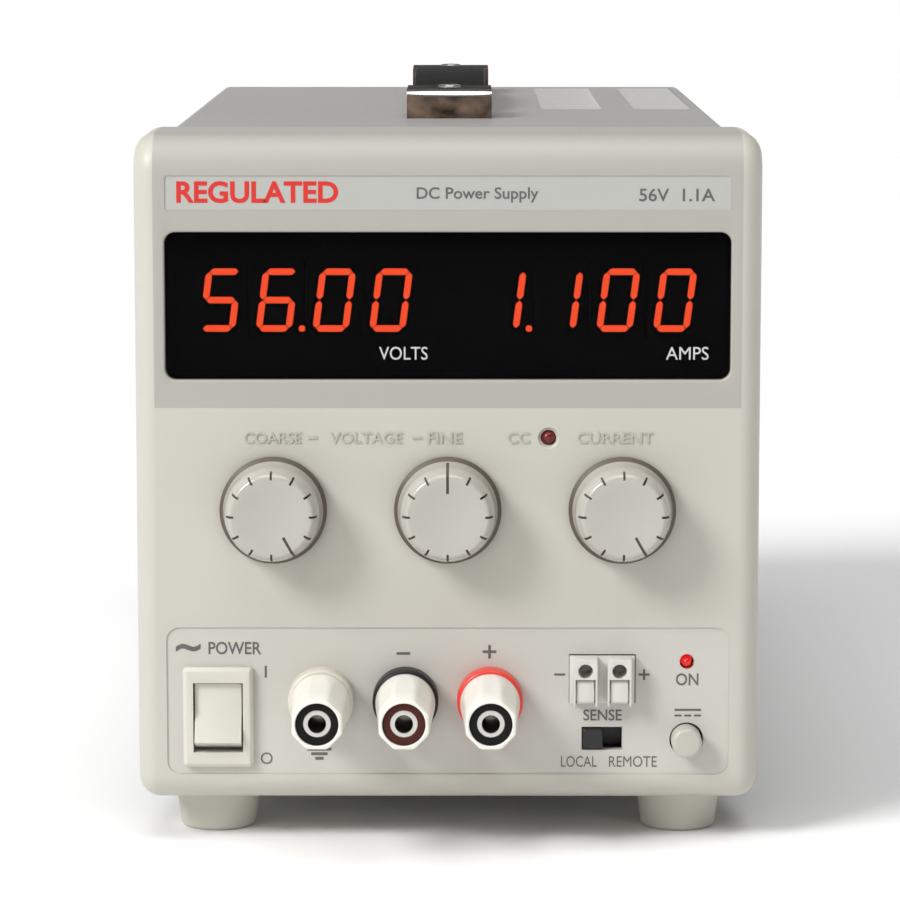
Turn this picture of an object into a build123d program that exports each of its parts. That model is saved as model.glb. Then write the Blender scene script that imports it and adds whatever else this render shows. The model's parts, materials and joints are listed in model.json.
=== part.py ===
"""Bench power supply: moulded front bezel, folded steel case, finned rear heatsink.

Millimetres. +X is the user's right, +Y is the back and +Z is up. The origin is on
the table, under the middle of the bounding box. A "depth" is a distance behind the
frontmost face of the bezel, so what stands proud of the bezel has a negative depth.
"""

import math
import os

from build123d import *

os.makedirs("parts", exist_ok=True)

# ---------------------------------------------------------------- driving dimensions
# Overall
WIDTH = 140.0  # bezel, side to side
CASE_TOP = 160.0  # top of the bezel above the table
CASE_DEPTH = 280.0  # bezel face to the rear edge of the cover
FOOT_HEIGHT = 9.5  # table to the underside of the bezel
HEATSINK_REACH = 18.0  # heatsink behind the cover
POST_REACH = 28.0  # binding posts in front of the bezel

# Walls and clearances
BEZEL_WALL = 2.5
SHEET = 1.2  # steel sheet of the case
BOARD = 1.6  # circuit boards
FIT_GAP = 0.2  # round a piece that sits in a recess or inside another
RUN_GAP = 0.05  # radial, shaft in its bearing
MOVE_GAP = 0.35  # round a piece that moves

# Front bezel
BEZEL_DEPTH = 30.0
TOP_ROUND = 9.0
BOTTOM_ROUND = 6.0
SIDE_ROUND = 5.0
FOLD_SETBACK = 0.8  # the display field lies this far behind the control field
FOLD_ROUND = 40.0
FOLD_BELOW_WINDOW = 6.3
SLOPE_ABOVE_OVERLAY = 3.0  # where the control field starts to lean back
BOSS_R = 3.5
SUBPANEL_DEPTH = 8.0

# Title strip and display
STRIP_MARGIN = 7.2  # bezel side to strip
STRIP_FROM_TOP = 16.9  # case top to the strip's lower edge
STRIP_HEIGHT = 7.8
STRIP_RECESS = 0.8
STRIP_SHEET = 0.6
WINDOW_MARGIN = 7.0
WINDOW_FROM_TOP = 54.7
WINDOW_HEIGHT = 33.0
WINDOW_CORNER = 2.5
WINDOW_RECESS = 1.0
WINDOW_FLANGE = 1.6
WINDOW_FLANGE_SHEET = 2.0
WINDOW_LIP = 0.5
DIGIT_PITCH = 12.7
DIGIT_HEIGHT = 14.2
DIGIT_WIDTH = 8.1
DIGIT_STROKE = 1.45
DIGIT_SLANT = 7.5  # degrees
DIGIT_BLOCK = (12.4, 19.0, 8.0)
DIGITS_BELOW_WINDOW_TOP = 15.6

# Control field
KNOB_PITCH = 39.0
KNOB_SKIRT_R = 12.0
KNOB_BODY_R = 11.2
KNOB_FACE_R = 10.1
KNOB_HEIGHT = 11.6
SPINDLE_R = 3.0
POT_BUSH_R = 3.5
POT_CAN_R = 8.2
POT_CAN_DEPTH = 9.0
KNOBS_BELOW_FOLD = 22.8
LED_R = 1.5
CC_LED_X = 22.5
CC_LED_ABOVE_KNOBS = 16.1

# Overlay along the bottom
OVERLAY_MARGIN = 6.7
OVERLAY_ABOVE_BASE = 6.2
OVERLAY_HEIGHT = 33.7
OVERLAY_CORNER = 3.0
OVERLAY_RECESS = 0.8
OVERLAY_SHEET = 0.5

# Power switch
SWITCH_X = -51.7
SWITCH_ABOVE_OVERLAY_BASE = 13.3
SWITCH_FLANGE = (15.8, 22.8)
SWITCH_OPENING = (11.2, 15.9)
SWITCH_PROUD = 2.0
SWITCH_BODY_DEPTH = 20.0
SWITCH_WALL = 1.1
ROCKER_TILT = 12.0  # degrees each side of the middle

# Binding posts
POST_PITCH = 19.0
POST_MIDDLE_X = -9.5
POST_ABOVE_OVERLAY_BASE = 17.3
SOCKET_BORE_R = 2.0
SOCKET_BORE_DEPTH = 20.0
SOCKET_R = 3.05
COLLAR_R = 7.4
COLLAR_HEIGHT = 4.5
SPIGOT_R = 4.5
BUSH_R = 4.7
CAP_REAR_R = 6.75
CAP_FRONT_R = 5.6

# Sense terminals and switches on the right
SENSE_X = 34.7
SENSE_ABOVE_OVERLAY_BASE = 21.9
SENSE_BLOCK = (14.6, 10.7)
SENSE_PITCH = 7.62
SENSE_COLUMN = 4.3
SENSE_PROUD = 4.7
WIRE_HOLE_R = 1.65
SLIDE_ABOVE_OVERLAY_BASE = 8.3
SLIDE_SLOT = (9.2, 5.3)
SLIDER_WIDTH = 4.6
OUTPUT_X = 53.7
OUTPUT_ABOVE_OVERLAY_BASE = 8.1
OUTPUT_BUTTON_R = 3.4
OUTPUT_BUTTON_PROUD = 5.1
OUTPUT_TRAVEL = 3.0
ON_LED_ABOVE_OVERLAY_BASE = 25.8

# Case
COVER_START = 26.0  # the cover is tucked this far behind the bezel face
COVER_BEND = 3.0
TRAY_BEND = 2.0
FLANGE_HEIGHT = 12.0
REAR_PANEL_INSET = 2.0
VENT_FROM = 160.0
VENT_SLOT = (16.4, 2.0)
VENT_PITCH = 4.0
VENT_ROWS = 28
VENT_COLUMNS_X = (31.5, 55.6)
SCREW_R = 1.5
SCREW_HEAD_R = 2.8
SCREW_HEAD_HEIGHT = 1.9

# Carrying handle
HANDLE_FROM = 113.0
HANDLE_LENGTH = 150.0
STRAP_WIDTH = 18.4
STRAP_SHEET = 4.4
STRAP_RISE = 5.0
END_CAP = (21.2, 24.0, 7.2)

# Feet
FOOT_TOP_R = 9.75
FOOT_BASE_R = 8.5
FOOT_X = 53.0
FRONT_FOOT_DEPTH = 19.0
REAR_FOOT_DEPTH = 258.0

# Rear
HEATSINK_BASE = 5.0
HEATSINK_SIZE = (124.0, 86.0)
HEATSINK_ABOVE_TRAY = 52.0
FIN_PITCH = 6.2
FIN_SHEET = 1.8
INLET_X = -34.0
INLET_ABOVE_TRAY = 26.0
INLET_FLANGE = (50.0, 40.0)
INLET_BODY = (28.0, 35.0)
INLET_CAVITY = (25.0, 16.8)
INLET_CAVITY_DEPTH = 16.5
INLET_CAVITY_UP = 7.6
FUSE_SLOT = (24.0, 9.0)
FUSE_SLOT_DOWN = 10.2

# Inside
WINDING_R = 50.0
WINDING_HOLE_R = 18.0
WINDING_HEIGHT = 45.0
TRANSFORMER_DEPTH = 98.0
BOLT_R = 4.0
MAIN_BOARD_FROM = 152.0
MAIN_BOARD_LENGTH = 94.0
SPACER_HEIGHT = 8.0

# ---------------------------------------------------------------- derived places
FRONT_Y = -(CASE_DEPTH + HEATSINK_REACH - POST_REACH) / 2
HALF_WIDTH = WIDTH / 2
INNER_HALF = HALF_WIDTH - BEZEL_WALL
INNER_FLOOR = FOOT_HEIGHT + BEZEL_WALL
INNER_TOP = CASE_TOP - BEZEL_WALL
COVER_HALF = INNER_HALF - FIT_GAP
COVER_TOP = INNER_TOP - FIT_GAP
TRAY_HALF = COVER_HALF - SHEET - FIT_GAP
TRAY_TOP = INNER_FLOOR + SHEET
COVER_LOW = INNER_FLOOR + SIDE_ROUND - BEZEL_WALL + FIT_GAP  # clear of the bezel's inner rounds
PANEL_DEPTH = CASE_DEPTH - REAR_PANEL_INSET  # outer face of the rear panel

OVERLAY_BASE = FOOT_HEIGHT + OVERLAY_ABOVE_BASE
OVERLAY_TOP = OVERLAY_BASE + OVERLAY_HEIGHT
OVERLAY_WIDTH = WIDTH - 2 * OVERLAY_MARGIN
OVERLAY_Z = OVERLAY_BASE + OVERLAY_HEIGHT / 2
OVERLAY_FACE = OVERLAY_RECESS - OVERLAY_SHEET  # depth of its printed face
STRIP_WIDTH = WIDTH - 2 * STRIP_MARGIN
STRIP_Z = CASE_TOP - STRIP_FROM_TOP + STRIP_HEIGHT / 2
WINDOW_WIDTH = WIDTH - 2 * WINDOW_MARGIN
WINDOW_Z = CASE_TOP - WINDOW_FROM_TOP + WINDOW_HEIGHT / 2
WINDOW_BACK = FOLD_SETBACK + BEZEL_WALL + WINDOW_FLANGE_SHEET
FOLD_Z = WINDOW_Z - WINDOW_HEIGHT / 2 - FOLD_BELOW_WINDOW
KNOB_Z = FOLD_Z - KNOBS_BELOW_FOLD
KNOB_XS = (-KNOB_PITCH, 0.0, KNOB_PITCH)
DIGIT_Z = WINDOW_Z + WINDOW_HEIGHT / 2 - DIGITS_BELOW_WINDOW_TOP
DIGIT_FACE = WINDOW_BACK + 0.5
DISPLAY_BOARD_DEPTH = DIGIT_FACE + DIGIT_BLOCK[2]
DIGIT_XS = [k * DIGIT_PITCH for k in (-4, -3, -2, -1, 1, 2, 3, 4)]

SWITCH_Z = OVERLAY_BASE + SWITCH_ABOVE_OVERLAY_BASE
POST_Z = OVERLAY_BASE + POST_ABOVE_OVERLAY_BASE
POST_XS = [POST_MIDDLE_X + k * POST_PITCH for k in (-1, 0, 1)]
SENSE_Z = OVERLAY_BASE + SENSE_ABOVE_OVERLAY_BASE
SLIDE_Z = OVERLAY_BASE + SLIDE_ABOVE_OVERLAY_BASE
OUTPUT_Z = OVERLAY_BASE + OUTPUT_ABOVE_OVERLAY_BASE
ON_LED_Z = OVERLAY_BASE + ON_LED_ABOVE_OVERLAY_BASE
CC_LED_Z = KNOB_Z + CC_LED_ABOVE_KNOBS
POT_BACK = SUBPANEL_DEPTH + SHEET + POT_CAN_DEPTH  # the control board's front face
CONTROL_BOARD_BACK = POT_BACK + BOARD

HANDLE_MIDDLE = HANDLE_FROM + HANDLE_LENGTH / 2
END_CAP_DEPTHS = (HANDLE_FROM + END_CAP[1] / 2, HANDLE_FROM + HANDLE_LENGTH - END_CAP[1] / 2)
FOOT_DEPTHS = (FRONT_FOOT_DEPTH, REAR_FOOT_DEPTH)
SIDE_SCREW_DEPTHS = (60.0, CASE_DEPTH - 40.0)
SIDE_SCREW_Z = INNER_FLOOR + 7.0
HEATSINK_Z = TRAY_TOP + HEATSINK_ABOVE_TRAY + HEATSINK_SIZE[1] / 2
HEATSINK_SCREWS = (HEATSINK_SIZE[0] - 10.0, HEATSINK_SIZE[1] - 10.0)
INLET_Z = TRAY_TOP + INLET_ABOVE_TRAY
INLET_FACE = PANEL_DEPTH + 2.5
INLET_SCREW_X = 20.0
BOARD_Z = TRAY_TOP + SPACER_HEIGHT
BOARD_TOP = BOARD_Z + BOARD
BOARD_WIDTH = 2 * TRAY_HALF - 10.0
BOARD_MIDDLE = MAIN_BOARD_FROM + MAIN_BOARD_LENGTH / 2
SUBPANEL_SCREW_X = INNER_HALF - 6.5
SUBPANEL_SCREW_ZS = (KNOB_Z - 19.0, KNOB_Z + 13.0)
SUBPANEL_SCREWS = [(side * SUBPANEL_SCREW_X, z) for side in (-1, 1) for z in SUBPANEL_SCREW_ZS]
SWITCH_HOLE = [size + 2 * (SWITCH_WALL + FIT_GAP) for size in SWITCH_OPENING]
SENSE_HOLE = [size + 2 * FIT_GAP for size in SENSE_BLOCK]
BUTTON_HOLE_R = OUTPUT_BUTTON_R + MOVE_GAP + 0.1


# ---------------------------------------------------------------- helpers
def facing(depth):
    """Plane seen face on by the user, this far behind the bezel's front face."""
    return Plane.XZ.offset(-(FRONT_Y + depth))


def turned(x, z, depth=0.0):
    """Plane for a turned profile: local x is the radius, local y the way out to the user."""
    return Plane(origin=(x, FRONT_Y + depth, z), x_dir=(1, 0, 0), z_dir=(0, 0, -1))


def front_axis(x, z):
    """Axis of a turned piece that points out of the front."""
    return Axis((x, FRONT_Y, z), (0, -1, 0))


def slab(depth, length, x, z, width, height, corner=0.0, mode=Mode.ADD):
    """Upright block that starts at a depth and runs back from it."""
    with BuildSketch(facing(depth)) as section:
        with Locations((x, z)):
            if corner:
                RectangleRounded(width, height, corner)
            else:
                Rectangle(width, height)
    extrude(section.sketch, amount=-length, mode=mode)


def rod(depth, length, x, z, radius, mode=Mode.ADD):
    """Round bar or hole that starts at a depth and runs back from it."""
    with BuildSketch(facing(depth)) as section:
        with Locations((x, z)):
            Circle(radius)
    extrude(section.sketch, amount=-length, mode=mode)


def block(x, depth, z, size, mode=Mode.ADD):
    """Block that stands on the level z, centred on x and a depth."""
    with BuildSketch(Plane.XY.offset(z)) as section:
        with Locations((x, FRONT_Y + depth)):
            Rectangle(size[0], size[1])
    extrude(section.sketch, amount=size[2], mode=mode)


def column(x, depth, z, radius, height, mode=Mode.ADD):
    """Upright round bar or hole that stands on the level z."""
    with BuildSketch(Plane.XY.offset(z)) as section:
        with Locations((x, FRONT_Y + depth)):
            Circle(radius)
    extrude(section.sketch, amount=height, mode=mode)


def screw(plane, length):
    """Pan head screw: the plane is under its head and its normal points out of the head."""
    with BuildSketch(plane) as head:
        Circle(SCREW_HEAD_R)
    extrude(head.sketch, amount=SCREW_HEAD_HEIGHT, taper=12)
    with BuildSketch(plane) as shank:
        Circle(SCREW_R)
    extrude(shank.sketch, amount=-length)


def save(part, label):
    """Label a finished piece and write it to its own file."""
    part.part.label = label
    export_step(part.part, f"parts/{label}.step")


# ---------------------------------------------------------------- front bezel
with BuildPart() as front_bezel:
    with BuildSketch(Plane.YZ.offset(-HALF_WIDTH)):
        with BuildLine():
            outline = FilletPolyline(
                (FRONT_Y + BEZEL_DEPTH, FOOT_HEIGHT),
                (FRONT_Y, FOOT_HEIGHT),
                (FRONT_Y, OVERLAY_TOP + SLOPE_ABOVE_OVERLAY),
                (FRONT_Y + FOLD_SETBACK, FOLD_Z),
                (FRONT_Y + FOLD_SETBACK, CASE_TOP),
                (FRONT_Y + BEZEL_DEPTH, CASE_TOP),
                radius=[BOTTOM_ROUND, FOLD_ROUND, FOLD_ROUND, TOP_ROUND],
            )
            Line(outline @ 1, outline @ 0)
        make_face()
    extrude(amount=WIDTH)
    rear_plane = FRONT_Y + BEZEL_DEPTH
    end_edges = [
        edge
        for end in (front_bezel.faces().sort_by(Axis.X)[0], front_bezel.faces().sort_by(Axis.X)[-1])
        for edge in end.edges()
        if edge.center().Y < rear_plane - 0.1
    ]
    fillet(end_edges, radius=SIDE_ROUND)
    offset(amount=-BEZEL_WALL, openings=front_bezel.faces().sort_by(Axis.Y)[-1])

    # Recesses for the title strip and the overlay, and the display opening
    slab(FOLD_SETBACK, STRIP_RECESS, 0, STRIP_Z, STRIP_WIDTH, STRIP_HEIGHT, 0.8, Mode.SUBTRACT)
    slab(FOLD_SETBACK, 2 * BEZEL_WALL, 0, WINDOW_Z, WINDOW_WIDTH, WINDOW_HEIGHT, WINDOW_CORNER, Mode.SUBTRACT)
    slab(0, OVERLAY_RECESS, 0, OVERLAY_Z, OVERLAY_WIDTH, OVERLAY_HEIGHT, OVERLAY_CORNER, Mode.SUBTRACT)
    window_lip = [
        edge
        for edge in front_bezel.edges()
        if abs(edge.center().Y - FRONT_Y - FOLD_SETBACK) < 0.01
        and abs(edge.center().X) < WINDOW_WIDTH / 2 + 0.1
        and abs(edge.center().Z - WINDOW_Z) < WINDOW_HEIGHT / 2 + 0.1
    ]
    fillet(window_lip, radius=WINDOW_LIP)

    # Bosses for the steel sub-panel, with their pilot holes
    for boss_x, boss_z in SUBPANEL_SCREWS:
        rod(FOLD_SETBACK + 1.0, SUBPANEL_DEPTH - FOLD_SETBACK - 1.0, boss_x, boss_z, BOSS_R)
        rod(FOLD_SETBACK + BEZEL_WALL, SUBPANEL_DEPTH, boss_x, boss_z, SCREW_R + RUN_GAP, Mode.SUBTRACT)

    # Holes for what passes through the front
    through = 3 * BEZEL_WALL
    for knob_x in KNOB_XS:
        rod(-1, through, knob_x, KNOB_Z, SPINDLE_R + 1.0, Mode.SUBTRACT)
    for post_x in POST_XS:
        rod(-1, through, post_x, POST_Z, SPIGOT_R + FIT_GAP, Mode.SUBTRACT)
    rod(-1, through, CC_LED_X, CC_LED_Z, LED_R + FIT_GAP, Mode.SUBTRACT)
    with BuildSketch(facing(FOLD_SETBACK + 0.6)):
        with Locations((CC_LED_X, CC_LED_Z)):
            Circle(LED_R + FIT_GAP)
    extrude(amount=2.0, taper=-45, mode=Mode.SUBTRACT)
    rod(-1, through, OUTPUT_X, ON_LED_Z, LED_R + FIT_GAP, Mode.SUBTRACT)
    rod(-1, through, OUTPUT_X, OUTPUT_Z, BUTTON_HOLE_R, Mode.SUBTRACT)
    slab(-1, through, SWITCH_X, SWITCH_Z, *SWITCH_HOLE, mode=Mode.SUBTRACT)
    slab(-1, through, SENSE_X, SENSE_Z, *SENSE_HOLE, mode=Mode.SUBTRACT)
    slab(-1, through, SENSE_X, SLIDE_Z, SLIDE_SLOT[0], SLIDE_SLOT[1], mode=Mode.SUBTRACT)
    # Foot screws pass through the bottom wall
    for side in (-1, 1):
        column(side * FOOT_X, FRONT_FOOT_DEPTH, FOOT_HEIGHT - 1, SCREW_R + FIT_GAP, 5, Mode.SUBTRACT)
save(front_bezel, "front_bezel")

# ---------------------------------------------------------------- title strip, overlay, window
with BuildPart() as title_strip:
    slab(
        FOLD_SETBACK + STRIP_RECESS - STRIP_SHEET,
        STRIP_SHEET,
        0,
        STRIP_Z,
        STRIP_WIDTH - 2 * FIT_GAP,
        STRIP_HEIGHT - 2 * FIT_GAP,
        0.8 - FIT_GAP,
    )
save(title_strip, "title_strip")

with BuildPart() as control_overlay:
    slab(
        OVERLAY_FACE,
        OVERLAY_SHEET,
        0,
        OVERLAY_Z,
        OVERLAY_WIDTH - 2 * FIT_GAP,
        OVERLAY_HEIGHT - 2 * FIT_GAP,
        OVERLAY_CORNER - FIT_GAP,
    )
    for post_x in POST_XS:
        rod(-1, 4, post_x, POST_Z, SPIGOT_R + FIT_GAP, Mode.SUBTRACT)
    rod(-1, 4, OUTPUT_X, ON_LED_Z, LED_R + FIT_GAP, Mode.SUBTRACT)
    rod(-1, 4, OUTPUT_X, OUTPUT_Z, BUTTON_HOLE_R, Mode.SUBTRACT)
    slab(-1, 4, SWITCH_X, SWITCH_Z, *SWITCH_HOLE, mode=Mode.SUBTRACT)
    slab(-1, 4, SENSE_X, SENSE_Z, *SENSE_HOLE, mode=Mode.SUBTRACT)
    slab(-1, 4, SENSE_X, SLIDE_Z, SLIDE_SLOT[0], SLIDE_SLOT[1], mode=Mode.SUBTRACT)
save(control_overlay, "control_overlay")

with BuildPart() as display_window:
    slab(
        FOLD_SETBACK + BEZEL_WALL,
        WINDOW_FLANGE_SHEET,
        0,
        WINDOW_Z,
        WINDOW_WIDTH + 2 * WINDOW_FLANGE,
        WINDOW_HEIGHT + 2 * WINDOW_FLANGE,
        WINDOW_CORNER,
    )
    slab(
        FOLD_SETBACK + WINDOW_RECESS,
        BEZEL_WALL - WINDOW_RECESS,
        0,
        WINDOW_Z,
        WINDOW_WIDTH - 2 * FIT_GAP,
        WINDOW_HEIGHT - 2 * FIT_GAP,
        WINDOW_CORNER - FIT_GAP,
    )
save(display_window, "display_window")

# ---------------------------------------------------------------- display
with BuildPart() as digit_modules:
    for digit_x in DIGIT_XS:
        slab(DIGIT_FACE, DIGIT_BLOCK[2], digit_x, DIGIT_Z, DIGIT_BLOCK[0], DIGIT_BLOCK[1], 0.4)
save(digit_modules, "digit_modules")

# A seven segment figure: bars run between mitred ends on a slanted grid
BAR_X = (DIGIT_WIDTH - DIGIT_STROKE) / 2
BAR_Z = (DIGIT_HEIGHT - DIGIT_STROKE) / 2
MITRE_GAP = 0.12
BAR_ENDS = {
    "a": ((-BAR_X, BAR_Z), (BAR_X, BAR_Z)),
    "b": ((BAR_X, BAR_Z), (BAR_X, 0)),
    "c": ((BAR_X, 0), (BAR_X, -BAR_Z)),
    "d": ((-BAR_X, -BAR_Z), (BAR_X, -BAR_Z)),
    "e": ((-BAR_X, 0), (-BAR_X, -BAR_Z)),
    "f": ((-BAR_X, BAR_Z), (-BAR_X, 0)),
    "g": ((-BAR_X, 0), (BAR_X, 0)),
}
LIT_BARS = {"5": "afgcd", "6": "afgecd", "0": "abcdef", "1": "bc"}
READING = "56001100"
DOT_AFTER = (1, 4)
SEGMENT_SHEET = 0.2


def slanted(x, z):
    """Lean a point of the upright figure over by the figure's slant."""
    return x + z * math.tan(math.radians(DIGIT_SLANT)), z


def bar_outline(name):
    """Six corners of one bar, pointed at both ends."""
    (x0, z0), (x1, z1) = BAR_ENDS[name]
    length = math.hypot(x1 - x0, z1 - z0)
    ux, uz = (x1 - x0) / length, (z1 - z0) / length
    half = DIGIT_STROKE / 2
    along = (MITRE_GAP, half + MITRE_GAP, length - half - MITRE_GAP, length - MITRE_GAP)
    across = (0, half, half, 0, -half, -half)
    steps = (along[0], along[1], along[2], along[3], along[2], along[1])
    return [slanted(x0 + ux * t - uz * s, z0 + uz * t + ux * s) for t, s in zip(steps, across)]


with BuildPart() as lit_segments:
    with BuildSketch(facing(DIGIT_FACE - SEGMENT_SHEET)):
        for index, (digit_x, figure) in enumerate(zip(DIGIT_XS, READING)):
            with Locations((digit_x, DIGIT_Z)):
                for bar in LIT_BARS[figure]:
                    Polygon(*bar_outline(bar), align=None)
            if index in DOT_AFTER:
                with Locations((digit_x + DIGIT_PITCH / 2 - 0.9, DIGIT_Z - BAR_Z)):
                    Circle(DIGIT_STROKE / 2)
    extrude(amount=-SEGMENT_SHEET)
save(lit_segments, "lit_segments")

with BuildPart() as display_board:
    slab(DISPLAY_BOARD_DEPTH, BOARD, 0, DIGIT_Z, 9 * DIGIT_PITCH, DIGIT_BLOCK[1] + 12)
save(display_board, "display_board")

# ---------------------------------------------------------------- sub-panel and control board
with BuildPart() as front_subpanel:
    low, high = TRAY_TOP + 0.5, INNER_TOP - 2.0
    slab(SUBPANEL_DEPTH, SHEET, 0, (low + high) / 2, 2 * (INNER_HALF - 1.0), high - low)
    slab(SUBPANEL_DEPTH - 1, 4, 0, DIGIT_Z, 9 * DIGIT_PITCH, DIGIT_BLOCK[1] + 2, mode=Mode.SUBTRACT)
    for knob_x in KNOB_XS:
        rod(SUBPANEL_DEPTH - 1, 4, knob_x, KNOB_Z, POT_BUSH_R + FIT_GAP, Mode.SUBTRACT)
    for post_x in POST_XS:
        rod(SUBPANEL_DEPTH - 1, 4, post_x, POST_Z, SPIGOT_R + FIT_GAP, Mode.SUBTRACT)
    for led_x, led_z in ((CC_LED_X, CC_LED_Z), (OUTPUT_X, ON_LED_Z)):
        rod(SUBPANEL_DEPTH - 1, 4, led_x, led_z, LED_R + 1.0, Mode.SUBTRACT)
    rod(SUBPANEL_DEPTH - 1, 4, OUTPUT_X, OUTPUT_Z, OUTPUT_BUTTON_R + 1.0, Mode.SUBTRACT)
    slab(SUBPANEL_DEPTH - 1, 4, SWITCH_X, SWITCH_Z, *SWITCH_HOLE, mode=Mode.SUBTRACT)
    slab(SUBPANEL_DEPTH - 1, 4, SENSE_X, SENSE_Z, *SENSE_HOLE, mode=Mode.SUBTRACT)
    slab(SUBPANEL_DEPTH - 1, 4, SENSE_X, SLIDE_Z, SLIDE_SLOT[0] + 4, SLIDE_SLOT[1] + 3, mode=Mode.SUBTRACT)
    for screw_x, screw_z in SUBPANEL_SCREWS:
        rod(SUBPANEL_DEPTH - 1, 4, screw_x, screw_z, SCREW_R + FIT_GAP, Mode.SUBTRACT)
save(front_subpanel, "front_subpanel")

with BuildPart() as control_board:
    upper_low = KNOB_Z - POT_CAN_R - 6.0
    upper_high = CC_LED_Z + 5.0
    block_low = TRAY_TOP + 3.0
    block_left = SENSE_X - 12.0
    slab(POT_BACK, BOARD, 0, (upper_low + upper_high) / 2, 2 * (INNER_HALF - 5.0), upper_high - upper_low)
    slab(
        POT_BACK,
        BOARD,
        (block_left + INNER_HALF - 5.0) / 2,
        (block_low + upper_high) / 2,
        INNER_HALF - 5.0 - block_left,
        upper_high - block_low,
    )
save(control_board, "control_board")

with BuildPart() as pot_bodies:
    for knob_x in KNOB_XS:
        rod(SUBPANEL_DEPTH + SHEET, POT_CAN_DEPTH, knob_x, KNOB_Z, POT_CAN_R)
        rod(SUBPANEL_DEPTH - 3.6, SHEET + 4.0, knob_x, KNOB_Z, POT_BUSH_R)
        rod(SUBPANEL_DEPTH - 4, SHEET + POT_CAN_DEPTH + 2.0, knob_x, KNOB_Z, SPINDLE_R + RUN_GAP, Mode.SUBTRACT)
save(pot_bodies, "pot_bodies")

with BuildPart() as pot_nuts:
    for knob_x in KNOB_XS:
        with BuildSketch(facing(SUBPANEL_DEPTH - 2.4)):
            with Locations((knob_x, KNOB_Z)):
                RegularPolygon(radius=5.0, side_count=6, major_radius=False)
                Circle(POT_BUSH_R + RUN_GAP, mode=Mode.SUBTRACT)
        extrude(amount=-2.4)
save(pot_nuts, "pot_nuts")


def led(x, z, depth):
    """Round lamp with its dome at a depth, its flange, and two legs to the board."""
    with BuildSketch(turned(x, z, depth + LED_R)) as profile:
        with BuildLine():
            Line((0, -3.8), (0, LED_R))
            ThreePointArc((0, LED_R), (LED_R * math.sqrt(0.5), LED_R * math.sqrt(0.5)), (LED_R, 0))
            Polyline((LED_R, 0), (LED_R, -2.8), (LED_R + 0.4, -2.8), (LED_R + 0.4, -3.8), (0, -3.8))
        make_face()
    revolve(profile.sketch, axis=front_axis(x, z))
    for side in (-1, 1):
        back = depth + LED_R + 3.8
        slab(back, POT_BACK - back, x + side * 1.27 / 2, z, 0.5, 0.5)


with BuildPart() as cc_led:
    led(CC_LED_X, CC_LED_Z, FOLD_SETBACK - 0.5)
save(cc_led, "cc_led")

with BuildPart() as output_led:
    led(OUTPUT_X, ON_LED_Z, OVERLAY_FACE - 0.7)
save(output_led, "output_led")

# ---------------------------------------------------------------- knobs and their spindles
SPINDLE_TIP = -(KNOB_HEIGHT - 3.0)
SKIRT_BACK = 0.4
DISH_R = KNOB_FACE_R - 2.1
DISH_SINK = 0.7
DISH_SPHERE_R = (DISH_R**2 + DISH_SINK**2) / (2 * DISH_SINK)
dish_turn = math.asin(DISH_R / DISH_SPHERE_R) / 2
DISH_MIDWAY = (
    DISH_SPHERE_R * math.sin(dish_turn),
    KNOB_HEIGHT - DISH_SINK + DISH_SPHERE_R * (1 - math.cos(dish_turn)),
)
for knob_name, knob_x in zip(("coarse", "fine", "current"), KNOB_XS):
    with BuildPart() as knob:
        with BuildSketch(turned(knob_x, KNOB_Z)):
            with BuildLine():
                Polyline(
                    (0, KNOB_HEIGHT - DISH_SINK),
                    (0, SKIRT_BACK + 2.0),
                    (KNOB_FACE_R - 2.0, SKIRT_BACK + 2.0),
                    (KNOB_FACE_R - 2.0, SKIRT_BACK),
                    (KNOB_SKIRT_R, SKIRT_BACK),
                    (KNOB_SKIRT_R, SKIRT_BACK + 1.2),
                    (KNOB_BODY_R, SKIRT_BACK + 1.8),
                    (KNOB_FACE_R + 0.1, KNOB_HEIGHT - 1.4),
                )
                ThreePointArc(
                    (KNOB_FACE_R + 0.1, KNOB_HEIGHT - 1.4),
                    (KNOB_FACE_R - 0.3, KNOB_HEIGHT - 0.35),
                    (KNOB_FACE_R - 1.4, KNOB_HEIGHT),
                )
                Line((KNOB_FACE_R - 1.4, KNOB_HEIGHT), (DISH_R, KNOB_HEIGHT))
                ThreePointArc((DISH_R, KNOB_HEIGHT), DISH_MIDWAY, (0, KNOB_HEIGHT - DISH_SINK))
            make_face()
        revolve(axis=front_axis(knob_x, KNOB_Z))
        # Hub behind the face, bored for the spindle
        rod(-3.0, 2.0, knob_x, KNOB_Z, SPINDLE_R + 2.0)
        rod(SPINDLE_TIP, KNOB_HEIGHT, knob_x, KNOB_Z, SPINDLE_R, Mode.SUBTRACT)
    save(knob, f"{knob_name}_knob")

    with BuildPart() as spindle:
        rod(SPINDLE_TIP, SUBPANEL_DEPTH + SHEET + POT_CAN_DEPTH - 3.0 - SPINDLE_TIP, knob_x, KNOB_Z, SPINDLE_R)
    save(spindle, f"{knob_name}_spindle")

# ---------------------------------------------------------------- power switch
SWITCH_FACE = OVERLAY_FACE - SWITCH_PROUD
HOUSING = (SWITCH_OPENING[0] + 2 * SWITCH_WALL, SWITCH_OPENING[1] + 2 * SWITCH_WALL)
ROCKER_REACH = SWITCH_OPENING[1] / 2 - MOVE_GAP  # its pressed end, from the pivot
ROCKER_FACE = 3.9  # its pressed face, from the pivot
PIVOT_DEPTH = SWITCH_FACE + 1.0 + ROCKER_FACE
PIVOT_PIN_R = 1.0
PIVOT_PIN_BITE = 0.7

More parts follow.
